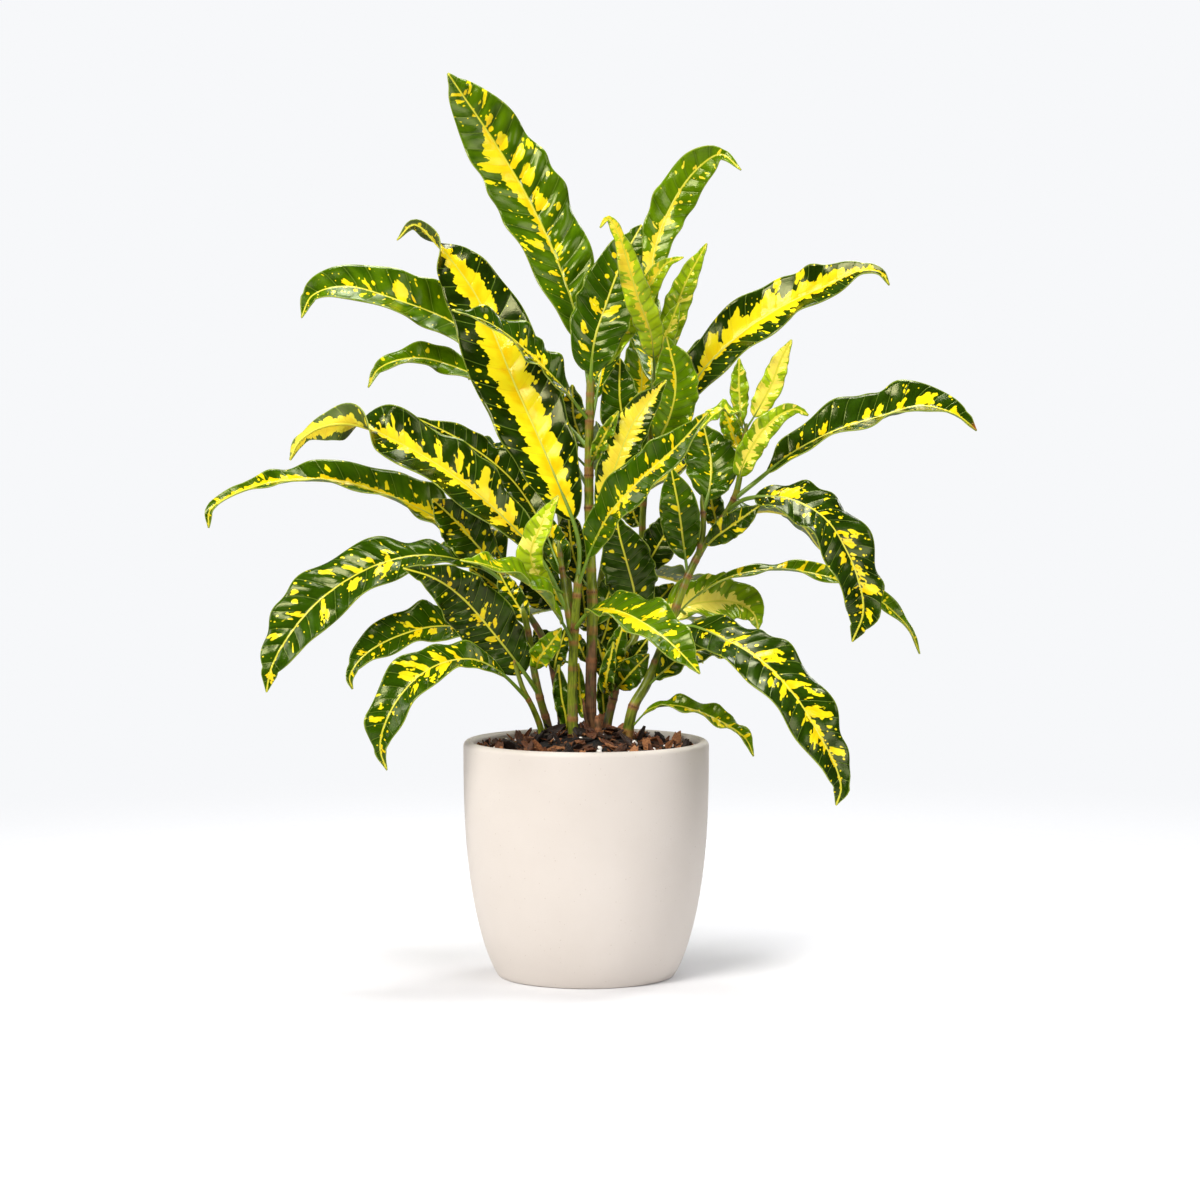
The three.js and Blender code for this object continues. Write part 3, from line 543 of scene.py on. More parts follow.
def growBlade(one, line, number):
    d = leafDetail
    phase = number * 0.618 % 1
    bladeLength = walk(line, [0])[2] * (1 - d["stalkShare"])
    rows = int(np.clip(bladeLength / d["rowStep"], *d["rows"]))
    columns = 2 * int(np.clip(one["width"] / 2 / d["columnStep"], *d["columns"]))
    shares = np.linspace(d["stalkShare"], 1, rows + 1)
    places, _, normals, sides, along, half = leafFrame(one, line, shares)
    across = np.linspace(-1, 1, columns + 1)
    reachOut = np.abs(across)
    onRight = across > 0
    run, wide = along[:, None], half[:, None]
    isBlade = smoothStep(run, 0, 0.12)

    # Side veins, counted from the stalk: each point lies on the vein that leaves the midrib at start
    fromRib = reachOut * wide
    start = run * bladeLength - d["veinLean"] * fromRib - d["veinCurl"] * fromRib ** 2
    veins = start / max(d["veinGap"] * bladeLength, d["veinLeast"])

    # Fold, waves and ruffles of the margin, and pillows and dents between the midrib and the margin
    shift = np.where(onRight, 0.35, 0)
    uneven = 0.25 * np.sin(run * 11 + phase * 23)
    ruffle = swing(run * d["ruffles"] + phase * 3 + shift * 2 + uneven)
    dents = np.prod([np.sin(run * bladeLength / length + lean * across + phase * begin)
                     for length, lean, begin in d["dents"]], axis=0)
    lift = (reachOut ** d["foldPower"] * one["fold"] * wide
            + reachOut ** 2 * d["wave"] * swing(run * d["waves"] + phase + shift) * (wide / one["width"]) * 2
            + reachOut ** 4 * one["ruffle"] * ruffle * np.minimum(wide / 12, 1))
    pillows = d["swell"] * np.where(onRight, one["quilt"][1], one["quilt"][0]) * swing(veins % 1 / 2) ** 0.7
    belly = np.sin(np.pi * reachOut ** 0.75).clip(0) ** 0.8
    lift = isBlade * (lift + (pillows + d["dent"] * dents) * belly * np.minimum(wide / 14, 1.2))
    sway = d["sway"][0] * one["ruffle"] / d["sway"][1]
    outward = across * wide * (1 + isBlade * sway * reachOut ** 3 * ruffle)
    sheet = addSheet("blade", places[:, None] + sides[:, None] * outward[..., None]
                     + normals[:, None] * lift[..., None], bladeTop)
    sheet.data.materials.append(bladeUnder)
    sheet.data.materials.append(bladeEdge)

    writeValues(sheet, "leafTone", np.tile([one["spots"], one["youth"], one["pale"]], (veins.size, 1)))
    writeValues(sheet, "leafEdge", inRows((1 - reachOut) * wide, fromRib, veins))
    blobs = np.full_like(fromRib, -9)
    for share, side, length, breadth in one["blobs"]:
        near = int(np.argmin(np.abs(along - share / 100)))
        out = side / 100 * half[near]
        rise = along[near] * bladeLength - d["veinLean"] * abs(out) - d["veinCurl"] * out ** 2
        away = np.hypot((across * wide - out) / length, (start - rise) / breadth)
        blobs = np.maximum(blobs, (1 - away) * min(length, breadth))
    writeValues(sheet, "yellowBlob", blobs.ravel())
    writeValues(sheet, "dryTip", np.repeat(one["dry"] * smoothStep(along, 0.955, 0.985), columns + 1))
    # Each half has its own yellow band, and reads the pattern at places of its own.
    corners = np.zeros(len(sheet.data.loops), np.int32)
    sheet.data.loops.foreach_get("vertex_index", corners)
    rightHalf = np.repeat(corners.reshape(-1, 4).max(axis=1) % (columns + 1) > columns / 2, 4)
    row = corners // (columns + 1)
    right, left = [(np.interp(along, np.linspace(0, 1, len(one[side])), one[side]) / 10 * half)[row]
                   for side in ("right", "left")]
    writeValues(sheet, "yellowReach", np.where(rightHalf, right, left))
    outApart, alongApart, halfApart = d["apart"]
    ownPlaces = inRows(fromRib + outApart * number, start + alongApart * number, 0)[corners]
    writeValues(sheet, "veinPlace", ownPlaces + np.outer(rightHalf, (halfApart, 0, 0)))
    writeValues(sheet, "leafTear", inRows(one["torn"], one["patches"], 2 * number + rightHalf))
    return sheet


# For each point of a tube: mm round it, mm along it, and a third value.
def tubePlaces(radii, along, third, sides):
    turns = np.linspace(0, 2 * np.pi, sides + 1)
    return inRows(radii[:, None] * turns, along[:, None], third[:, None])


# Stalk and midrib: one tapering rod under the blade, standing a little proud of its upper face.
def growRib(one, line):
    d = leafDetail
    size = float(np.clip(one["width"] / 32, 0.5, 1.15))
    length = walk(line, [0])[2]
    rows = int(np.clip(length / d["ribStep"], *d["ribRows"]))
    shares = np.concatenate([[0], np.linspace(0, 1, rows), [1]])
    places, headings, normals, sides, along, _ = leafFrame(one, line, shares)
    stalk = np.clip(shares / d["stalkShare"], 0, 1)
    radii = np.where(along > 0, d["ribTip"] + (d["ribRadius"] - d["ribTip"]) * (1 - along) ** 0.7,
                     d["stalkRadius"] + (d["ribRadius"] - d["stalkRadius"]) * stalk)
    radii = radii * size * (1 + 0.18 * np.exp(-(shares / 0.02) ** 2))
    radii[[0, -1]] = 0
    sunk = (0.72 * radii - d["thickness"] / 2) * smoothStep(along, 0, 0.1)
    rib = addTube("rib", places - normals * sunk[:, None], sides, np.cross(headings, sides), radii,
                  d["ribSides"], ribSkin)
    onBlade = smoothStep(along, 0, 0.35)
    writeValues(rib, "stemPlace", tubePlaces(radii, shares * length, onBlade, d["ribSides"]))
    return rib


# ---- Stems

stemDetail = {
    "sides": 16, "rowStep": 1.6,
    "woodBlend": 60,               # mm to either side of woodTop over which green turns to wood
    "firstScar": 6.0, "scarGap": (9, 24), "scarWidth": 2.4, "scarSwell": 0.14,
    "ending": (0.85, 0.65, 0.4),   # the last rings' shares of their radius
}


def growStem(branch, woodTop, roots, seed):
    points, fromRadius, toRadius = branch
    d = stemDetail
    draw = np.random.default_rng(seed)
    line = seen(points)
    rows = int(walk(line, [0])[2] / d["rowStep"])
    shares = np.concatenate([[0], np.linspace(0, 1, rows), [1]])
    places, headings, length = walk(line, shares)
    at = shares * length
    scars = [d["firstScar"]]
    while scars[-1] < length:
        scars.append(scars[-1] + draw.uniform(*d["scarGap"]))
    ring = np.zeros(len(shares))
    for scar in [*scars, *roots]:
        ring = np.maximum(ring, draw.uniform(0.25, 1) * np.exp(-((at - scar) / d["scarWidth"]) ** 2))
    radii = (fromRadius + (toRadius - fromRadius) * shares) * (1 + d["scarSwell"] * ring ** 3)
    radii[-4:-1] *= d["ending"]
    radii[[0, -1]] = 0
    outs = unit(np.array([1, 0, 0]) - headings * headings[:, :1])
    tube = addTube("stem", places, outs, np.cross(headings, outs), radii, d["sides"], stemBark)
    wood = 1 - smoothStep(places[:, 2], woodTop - d["woodBlend"], woodTop + d["woodBlend"])
    width = np.full(len(at), fromRadius)
    writeValues(tube, "stemPlace", tubePlaces(width, at + seed * 113, wood, d["sides"]))
    writeValues(tube, "nodeRing", np.repeat(ring, d["sides"] + 1))
    return tube


def growLeafyStem(node, stem, firstLeaf):
    steps = 60
    samples = [walk(seen(points), np.linspace(0, 1, steps + 1)) for points, _, _ in stem["branches"]]
    roots = [[] for sample in samples]
    blades, rods = [], []
    for number, one in enumerate(stem["leaves"] + stem["small"], firstLeaf):
        places, _, length = samples[one["branch"]]
        nearest = int(np.argmin(np.abs(places[:, 2] - one["height"])))
        roots[one["branch"]].append(nearest / steps * length)
        line = np.vstack([places[nearest], seen(one["points"])])
        blades.append(growBlade(one, line, number))
        rods.append(growRib(one, line))
    for seed, (branch, rootsOn) in enumerate(zip(stem["branches"], roots), firstLeaf):
        rods.append(growStem(branch, stem["woodTop"], rootsOn, seed))
    blade = joinPieces(blades, "blades")
    skins = blade.modifiers.new("skins", "SOLIDIFY")
    skins.thickness = leafDetail["thickness"] * mm
    skins.offset = 0
    skins.material_offset = 1
    skins.material_offset_rim = 2
    bpy.ops.object.modifier_apply(modifier=skins.name)
    rod = joinPieces(rods, "rods")
    mergeSeams(rod)
    first, *rest = node.split("_")
    onRoot(joinPieces([blade, rod], first + "".join(word.title() for word in rest)), node)


# Which way a leaf's upper face looks, before it is turned square to its midrib
front = (0, -1, 0.15)
frontUp = (0, -0.75, 0.65)
up = (0, -0.5, 0.85)
sky = (0, 0, 1)


# One leaf: the branch it grows from and at what height, its width, the way it faces and its midrib's points
# after the root, each [x, z, y]. left and right say how far the yellow reaches from the midrib, in tenths of
# the half-width, at even steps from the stalk to the tip, on each side as seen walking to the tip. youth
# goes from a dark old leaf, 0, to a lime one, 1. A leaf's own settings:
#   widest, fullness   where along the blade it is widest, and how fast it narrows to the tip
#   drip, dripWidth    share of the blade that is drawn out narrow at the tip, and how wide it starts, mm
#   tipFace, twist     the way the tip faces, and a turn: its start and end as shares, and radians
#   fold, ruffle       how steeply both halves rise, and how high the margin's small waves are, mm
#   torn, patches, spots, pale, dry    of the yellow: how torn, how much, how pale, and how dry the tip
#   quilt              how much the pillows swell, on the left and on the right
#   blobs              patches of its own: hundredths of the way to the tip and of the half-width, which is
#                      negative on the left, then their half-size, mm, out from the midrib and along it
def leaf(branch, height, width, face, points, left, right, youth, **own):
    one = {"branch": branch, "height": height, "width": width, "face": face, "points": points,
           "left": left, "right": right, "youth": youth, "widest": 0.5, "fullness": 0.6, "drip": 0.06,
           "dripWidth": width * 0.26, "tipFace": None, "twist": (0, 1, 0), "ruffle": 1.5,
           "fold": 0.2 if face is front else 0.4, "torn": 0.8, "patches": 0.3, "spots": 0.45, "pale": 0.3,
           "dry": 0, "quilt": (1, 1), "blobs": ()}
    return one | own


# Each stem: the height below which it is woody, its branches with their points and their radius at the
# foot and at the end, the leaves that the CAD has too, and the small ones that fill its middle.
stems = {}

stems["leafy_stem_trunk"] = {"woodTop": 215, "branches": [
    ([[3, 126, -5], [3, 186, -4], [4, 240, -2], [2, 300, 0], [2, 350, 2], [3, 392, 3]], 4, 2.6),
    ([[3, 160, -5], [0, 166, -11], [-2, 181, -13]], 1.4, 0.8),
], "leaves": [
    leaf(0, 380, 47, (0.5, -1, 0.15), [[-3, 415, 10], [-18, 463, 26], [-36, 502, 34], [-56, 536, 36],
         [-89, 585, 24]], (-3, -3, -2, 0, 2, 4, 5, 6, 0, -3, -1), (-3, -3), 0.38, tipFace=(0.05, -1, 0.15),
         widest=0.52, fullness=0.48, drip=0.03, dripWidth=8, fold=0.3, torn=0.5, patches=0.05, spots=0.4,
         pale=0.35, quilt=(2, 8), blobs=((36, -45, 7, 3), (36, -90, 4, 2), (62, -85, 5, 2), (24, -30, 3, 2),
         (90, -40, 3, 2), (93, 70, 3, 2), (87, 75, 5, 2), (80, 25, 3, 3), (72, 20, 4, 5), (65, 35, 7, 4),
         (66, 80, 3, 3), (58, 30, 5, 6), (48, 25, 4, 7), (44, 60, 2, 2), (32, 15, 2, 4))),
    leaf(0, 374, 38, front, [[5, 411, 0], [13, 437, 2], [24, 466, 4], [36, 488, 8]], (-2, -2, -2),
         (-2, -2, -2), 0.3, widest=0.45, patches=0, spots=0.25, quilt=(1, 1.5), blobs=((42, -35, 3, 2),
         (39, -25, 3, 3), (42, 35, 3, 3), (40, 20, 3, 3), (27, -50, 2, 2), (25, -35, 3, 2),
         (15, -40, 3, 2))),
    leaf(0, 384, 16, front, [[13, 401, 2], [26, 424, 6], [42, 450, 8], [52, 463, 6], [63, 467, 2]],
         (3, 3, 2, 3, 2, 2), (2, 3, 1, 2, 1, 1), 0.8, widest=0.45, spots=0.2, pale=0.5),
    leaf(0, 345, 38, frontUp, [[-40, 388, 34], [-85, 424, 46], [-124, 440, 36], [-156, 448, 26],
         [-177, 442, 18], [-184, 428, 12]], (-1, -1, -2, -1, 0, -1), (-1, 0, 1, -1, -1, -1), 0.36,
         widest=0.62, fullness=0.5, patches=0.1, spots=0.4, blobs=((63, 30, 6, 5), (45, 30, 5, 2),
         (42, 30, 3, 3), (33, -30, 3, 2), (74, 20, 3, 2), (80, 20, 3, 2), (27, 50, 2, 2), (38, -70, 2, 2))),
    leaf(0, 332, 20, frontUp, [[-45, 376, 44], [-82, 395, 50], [-111, 402, 40], [-134, 395, 32],
         [-141, 383, 28]], (-1, -1), (-1, -1), 0.44, widest=0.66, patches=0, spots=0.3),
    leaf(0, 360, 28, (-0.2, -0.5, 0.85), [[-17, 385, -12], [-39, 407, -20], [-62, 424, -28],
         [-87, 433, -34]], (4, 3, 2, 1, 1, 0, 0), (0, 0, 1, 0, 0, 0), 0.2, spots=0.4),
    leaf(0, 331, 10, (0.3, -0.9, 0.3), [[8, 345, -8], [14, 356, -12], [21, 368, -14]], (2, 3, 1), (3, 1, 0),
         0.5, spots=0.3),
    leaf(0, 290, 24, front, [[9, 307, -8], [19, 332, -10], [30, 359, -8], [52, 388, -4]], (6, 8, 8, 8, 6),
         (4, 5, 6, 5, 2), 0.12, torn=0.4, patches=0.1, spots=0.3, pale=0.55),
    leaf(0, 352, 30, sky, [[10, 395, 40], [15, 430, 90], [14, 450, 135], [8, 440, 175]],
         (1, 2, 3, 2, 3, 1, 0), (1, 3, 2, 1, 2, 0, 1), 0.28, spots=0.4),
    leaf(0, 318, 30, sky, [[-20, 358, 48], [-42, 388, 88], [-62, 400, 125], [-76, 388, 152]],
         (0, 1, 2, 0, 1, 0, 0), (1, 1, 0, 2, 0, 1, 0), 0.32, spots=0.4),
], "small": [
    leaf(0, 200, 9, front, [[-1, 208, 0], [-5, 217, 0], [-9, 226, 2]], (0, 1), (0, 0), 0.2),
    leaf(0, 222, 17, front, [[8, 234, 4], [14, 248, 8], [21, 266, 12]], (0, 1), (0, 0), 0.3),
    leaf(0, 250, 21, front, [[-4, 262, 14], [-9, 278, 18], [-12, 306, 20]], (0, 1), (0, 0), 0.1),
    leaf(0, 340, 17, front, [[-4, 352, 14], [-8, 364, 18], [-9, 385, 20]], (0, 1), (0, 0), 0.2),
    leaf(0, 222, 15, front, [[0, 230, 12], [-1, 240, 16], [-3, 258, 18]], (-1, 0), (0, -1), 0.1),
    leaf(0, 165, 8, front, [[-2, 172, 8], [-4, 184, 10], [-5, 204, 10]], (0, 1), (0, 0), 0.4),
    leaf(0, 205, 16, front, [[8, 213, 16], [13, 226, 20], [17, 245, 22]], (0, 1), (0, 0), 0.15),
]}

stems["leafy_stem_front"] = {"woodTop": 160, "branches": [
    ([[-7, 126, -17], [-9, 180, -17], [-8, 219, -17], [-5, 262, -16]], 3.7, 2.6),
    ([[-8, 214, -17], [-13, 245, -15], [-18, 284, -10]], 2.4, 1.6),
], "leaves": [
    leaf(0, 257, 50, front, [[-5, 284, -10], [-19, 323, -2], [-46, 385, 14], [-72, 444, 26], [-96, 475, 28],
         [-111, 488, 24], [-122, 478, 18]], (5, 5, 5, 5, 5, 4, 4, 4, 3, 2, 1),
         (5, 5, 5, 4, 4, 5, 4, 5, 4, 2, 1), 0.05, twist=(0.8, 0.93, 2.7), widest=0.5, fullness=0.55,
         drip=0.14, dripWidth=14, torn=0.3, patches=0.1, spots=0.5, pale=0.1, ruffle=1),
    leaf(0, 255, 28, (-0.3, -0.9, 0.4), [[3, 277, -26], [16, 302, -38], [35, 323, -50], [61, 347, -62],
         [79, 367, -70]], (0, 1, 2, 2, 1, 0, 0), (1, 1, 2, 3, 2, 1, 0), 0.32, spots=0.3, ruffle=0.5),
    leaf(0, 228, 34, (0.2, -0.75, 0.65), [[3, 238, -36], [20, 238, -58], [39, 229, -80], [58, 214, -96],
         [74, 197, -104]], (1, 1, 0, 0, -1, -1), (4, 6, 6, 5, 5, 6, 1, -1, -1, 0), 0.4, widest=0.55,
         torn=0.3, patches=0.05, spots=0.35, pale=0.25, ruffle=0.6, blobs=((56, 35, 5, 3), (84, 40, 3, 3),
         (30, 55, 3, 2), (55, -50, 6, 3), (40, -50, 5, 2), (70, -30, 4, 2))),
    leaf(0, 217, 26, (-0.2, -0.6, 0.75), [[-17, 233, -28], [-30, 250, -44], [-49, 262, -62],
         [-66, 268, -76], [-82, 271, -84]], (0, 0, 0, 0), (0, 0, 0, 0), 0.62, patches=0.25, spots=0.3,
         ruffle=0.4),
    leaf(1, 238, 40, frontUp, [[-28, 270, -14], [-46, 291, -18], [-82, 323, -24], [-121, 347, -26],
         [-150, 359, -28], [-172, 357, -32], [-186, 348, -34], [-192, 336, -36]],
         (2, 3, 3, 3, 2, 2, 2, 4, 8, 9), (2, 3, 3, 3, 3, 3, 3, 5, 8, 9), 0.1, twist=(0.7, 0.86, 2.7),
         widest=0.5, fullness=0.9, dripWidth=7, torn=0.6, patches=0.2, spots=0.5, pale=0.4,
         blobs=((30, 35, 8, 4), (18, 30, 9, 4), (20, -40, 8, 4), (38, -30, 5, 3), (47, 35, 5, 3),
         (40, 40, 5, 3), (50, 75, 3, 2))),
    leaf(1, 262, 22, frontUp, [[-30, 296, 4], [-50, 325, 12], [-80, 348, 14], [-112, 364, 12]], (-1, -1),
         (-1, -1), 0.1, patches=0.1, spots=0.4),
    leaf(1, 250, 17, (-0.2, -1, 0.2), [[-30, 260, -28], [-36, 274, -38], [-29, 294, -42], [-18, 313, -38]],
         (4, 5, 6, 4, 5), (2, 4, 3, 4, 2), 0.9, torn=1.3, spots=0.1, pale=1, ruffle=0.5),
    leaf(1, 256, 18, front, [[-18, 274, -4], [-23, 287, 0], [-27, 302, 2]], (1, 3, 2, 1), (2, 1, 2, 0), 0.3,
         spots=0.3),
], "small": [
    leaf(1, 236, 14, front, [[-20, 250, -8], [-26, 263, -4], [-31, 279, 0]], (2, 3, 1), (0, 0), 0.3),
]}

stems["leafy_stem_left_low"] = {"woodTop": 125, "branches": [
    ([[-29, 126, -10], [-29, 158, -10], [-34, 173, -16], [-41, 187, -23], [-47, 206, -29]], 2.6, 1.4),
], "leaves": [
    leaf(0, 182, 30, (-0.1, -0.75, 0.65), [[-56, 198, -38], [-72, 206, -47], [-90, 205, -54],
         [-108, 196, -60], [-124, 178, -64], [-133, 158, -66], [-134, 146, -65], [-130, 134, -62]],
         (1, 1, 0, -1, -1, -1, 0, 2, 1), (0, 0, 0, 0, 0, -1, -1, 0, 0), 0.26, widest=0.62, drip=0.1,
         patches=0.2, spots=0.4, blobs=((47, 30, 8, 3), (38, 30, 5, 3), (38, -30, 7, 4), (53, 30, 6, 3),
         (30, 25, 4, 2), (55, -40, 3, 3), (70, 50, 3, 2), (45, -70, 4, 2))),
], "small": []}

stems["leafy_stem_left"] = {"woodTop": 165, "branches": [
    ([[-24, 126, 2], [-24, 158, 2], [-30, 181, -2], [-34, 200, -6], [-37, 220, -10], [-41, 240, -12]], 3,
      2),
], "leaves": [
    leaf(0, 184, 38, front, [[-39, 196, -11], [-59, 222, -21], [-82, 248, -36], [-100, 260, -48],
         [-119, 266, -50]], (-1, -1), (-1, -1), 0.1, widest=0.46, drip=0.09, patches=0.1, spots=0.5,
         blobs=((42, 0, 4, 3), (46, 25, 3, 2), (28, -10, 3, 2), (36, 30, 3, 1), (70, -40, 2, 2))),
    leaf(0, 206, 30, frontUp, [[-54, 219, -8], [-80, 227, -14], [-104, 227, -22], [-134, 216, -30],
         [-148, 205, -34], [-154, 194, -36], [-152, 187, -36]], (-1, 0, 0, 0, -1), (-1, 0, 0, -1), 0.26,
         widest=0.52, drip=0.1, patches=0.1, spots=0.4, blobs=((50, -30, 6, 3), (42, -25, 4, 2),
         (52, 30, 3, 2), (30, -20, 4, 2), (70, -20, 3, 1), (80, 30, 3, 2))),
    leaf(0, 196, 15, front, [[-30, 208, -18], [-23, 217, -24], [-16, 227, -27]], (1, 1, 0), (0, 1, 1), 0.55,
         spots=0.2),
    leaf(0, 212, 22, sky, [[-60, 226, 36], [-85, 232, 75], [-108, 228, 108], [-126, 216, 132]],
         (1, 2, 1, 2, 1, 0), (1, 2, 1, 1, 1, 0), 0.25, spots=0.4),
], "small": [
    leaf(0, 226, 15, front, [[-43, 239, 0], [-50, 251, 2], [-57, 264, 4]], (-1, 0), (0, -1), 0.15),
]}

stems["leafy_stem_left_woody"] = {"woodTop": 235, "branches": [
    ([[-15, 126, 10], [-15, 158, 10], [-19, 187, 10], [-26, 216, 9], [-39, 238, 8], [-50, 254, 6],
      [-59, 272, 4]], 3.2, 1.8),
], "leaves": [
    leaf(0, 266, 35, up, [[-72, 283, 14], [-91, 295, 18], [-121, 310, 16], [-160, 322, 8], [-200, 322, 0],
         [-230, 313, -6], [-244, 303, -8], [-245, 292, -8]], (5, 6, 5, 3, 2, 2, 2, 3, 3, 1),
         (2, 2, 1, 1, 2, 2, 3, 4, 3, 1), 0.34, widest=0.25, fullness=1, drip=0.08, fold=0.5, torn=0.5,
         spots=0.3),
    leaf(0, 262, 30, (-0.2, -0.9, 0.4), [[-72, 282, -2], [-85, 297, -6], [-100, 311, -8]],
         (-1, 0, 1, 0, -1), (-1, 0, 1, 0, -1), 0.16, spots=0.4),
    leaf(0, 240, 42, (0, -0.3, 0.95), [[-60, 262, 2], [-82, 271, -8], [-108, 274, -18], [-140, 266, -30],
         [-173, 245, -40], [-195, 219, -46], [-205, 200, -48], [-208, 185, -48]],
         (1, 1, 0, -1, -1, -1, -1, 0, 1, 2), (1, 0, 0, -1, 0, -1, -1, 0, 1), 0.24, tipFace=(-0.3, -1, 0.3),
         widest=0.6, fullness=0.58, fold=0.18, patches=0.1, spots=0.4, pale=0.4, quilt=(3, 4),
         blobs=((38, -30, 6, 3), (42, -30, 6, 3), (52, -35, 5, 5), (48, 20, 5, 3), (56, 60, 4, 3),
         (66, -50, 8, 3), (43, 25, 3, 2), (36, 40, 3, 2), (72, 20, 3, 2), (82, 50, 4, 2), (94, -30, 3, 3),
         (68, 80, 2, 2))),
    leaf(0, 256, 20, sky, [[-75, 270, 50], [-95, 276, 90], [-116, 272, 125], [-132, 262, 152]],
         (1, 2, 1, 0, 1), (2, 1, 0, 1, 0), 0.35, spots=0.4),
    leaf(0, 246, 26, sky, [[-66, 298, 48], [-82, 325, 84], [-95, 335, 120], [-100, 328, 150]],
         (1, 2, 3, 1, 0), (1, 2, 1, 2, 0), 0.2, spots=0.4),
], "small": [
    leaf(0, 250, 15, front, [[-55, 252, 14], [-62, 257, 16], [-76, 266, 16]], (0, 1), (0, 0), 0.25),
    leaf(0, 150, 11, front, [[-13, 166, 3], [-16, 182, 0], [-18, 203, 0]], (-3, -3), (-3, -3), 0.25,
         patches=0, spots=0.1),
    leaf(0, 196, 12, front, [[-20, 205, 4], [-17, 215, 2], [-13, 227, 2]], (-1, 0), (0, -1), 0.2),
]}

stems["leafy_stem_right_tall"] = {"woodTop": 180, "branches": [
    ([[13, 126, 8], [13, 158, 8], [18, 183, 12], [24, 208, 16], [32, 222, 20], [36, 271, 24], [37, 304, 26],
      [42, 355, 28], [45, 396, 28]], 3.1, 1.7),
], "leaves": [
    leaf(0, 390, 27, front, [[43, 440, 42], [44, 470, 48], [57, 504, 54], [73, 525, 52], [87, 533, 46],
         [100, 523, 40]], (12, 12, 10, 5, 1, -1, 0, 0, 0), (7, 6, 2, 2, 4, 1, 0, 0, 0), 0.5, widest=0.7,
         drip=0.1, torn=0.5, patches=0.1, spots=0.2, pale=0.5),
    leaf(0, 386, 18, front, [[42, 417, 2], [34, 440, -16], [28, 460, -26], [22, 479, -32], [14, 492, -34],
         [9, 486, -36]], (1, 1, 2, 6, 9, 12, 14, 14), (0, 0, 1, 2, 5, 8, 14, 14), 0.86, widest=0.42,
         drip=0.14, dripWidth=7, torn=0.8, patches=0.1, spots=0.2, pale=0.5),
    leaf(0, 380, 17, front, [[53, 417, 26], [58, 434, 28], [66, 454, 28], [78, 476, 26]], (0, 0, -1, 0),
         (0, 0, -1, 1), 0.74, widest=0.45, spots=0.2, pale=0.8),
    leaf(0, 392, 12, front, [[50, 412, 18], [56, 428, 14], [60, 438, 12]], (5, 4, 2, 1, 1), (1, 2, 0, 0, 2),
         0.74, spots=0.2, pale=0.8),
    leaf(0, 348, 36, (0, -0.8, 0.6), [[59, 370, 36], [79, 398, 44], [103, 420, 46], [130, 437, 42],
         [156, 449, 34], [177, 458, 28], [190, 457, 24], [196, 449, 22]],
         (1, 2, 3, 3, 4, 4, 4, 4, 5, 6, 9, 6), (1, 2, 1, 1, 4, 5, 4, 2, 1, 1, 2), 0.1, widest=0.5, drip=0.1,
         fold=0.4, torn=0.5, patches=0.15, spots=0.4, pale=0.35, ruffle=1.1, blobs=((24, -35, 7, 6),
         (10, -40, 6, 4), (36, -40, 6, 5), (50, -40, 7, 5), (56, -85, 4, 3), (64, -80, 4, 4),
         (50, 35, 5, 3), (58, 60, 3, 3))),
    leaf(0, 318, 28, front, [[28, 348, 16], [22, 374, 12], [22, 402, 10]], (-1, 0, 0, -1), (-1, 0, 0, -1),
         0.25, patches=0.1, spots=0.25),
    leaf(0, 338, 30, front, [[54, 364, 18], [58, 388, 12], [52, 416, 8]], (0, 0, 1, 0), (1, 0, 0, 0), 0.5,
         patches=0.1, spots=0.25),
    leaf(0, 226, 34, front, [[31, 252, 8], [26, 271, 2], [21, 290, -2], [20, 300, -2]], (-1, 0, 0, 0),
         (0, 0, 0, -1), 0.15, patches=0.1, spots=0.25),
    leaf(0, 258, 24, front, [[43, 274, 16], [50, 286, 16], [60, 302, 16]], (-1, 0, 0, -1), (-1, 0, 0, -1),
         0.08, patches=0.05, spots=0.2),
    leaf(0, 184, 18, front, [[24, 192, 2], [32, 201, -4], [41, 210, -6]], (0, 1, 0, 0), (0, 0, 1, 0), 0.3,
         spots=0.3),
    leaf(0, 178, 10, front, [[13, 190, -4], [15, 204, -10], [18, 218, -12]], (2, 3, 1), (1, 2, 0), 0.3,
         spots=0.3),
    leaf(0, 362, 26, sky, [[64, 380, 74], [78, 402, 112], [88, 414, 148], [94, 412, 176]],
         (1, 3, 2, 3, 1, 0), (2, 3, 3, 1, 2, 0), 0.15, spots=0.4),
    leaf(0, 372, 26, sky, [[42, 402, 80], [38, 425, 126], [32, 436, 168], [28, 424, 200]],
         (2, 2, 4, 3, 2, 0), (1, 3, 2, 3, 1, 0), 0.35, spots=0.4),
], "small": [
    leaf(0, 178, 11, front, [[16, 186, 8], [12, 201, 4], [7, 220, 2]], (-1, 0), (0, -1), 0.15),
    leaf(0, 184, 13, front, [[17, 193, 6], [19, 210, 2], [25, 232, 0]], (0, 2), (0, -1), 0.3),
    leaf(0, 196, 13, front, [[25, 201, 10], [31, 208, 6], [40, 220, 4]], (-1, 0), (0, -1), 0.1),
    leaf(0, 160, 8, front, [[12, 168, 16], [11, 180, 18], [10, 200, 18]], (0, 1), (0, 0), 0.3),
    leaf(0, 232, 16, front, [[40, 238, 26], [46, 244, 28], [57, 256, 30]], (0, 1), (0, 0), 0.2),
    leaf(0, 290, 17, front, [[33, 296, 34], [30, 304, 36], [25, 321, 38]], (0, 1), (0, 0), 0.15),
]}

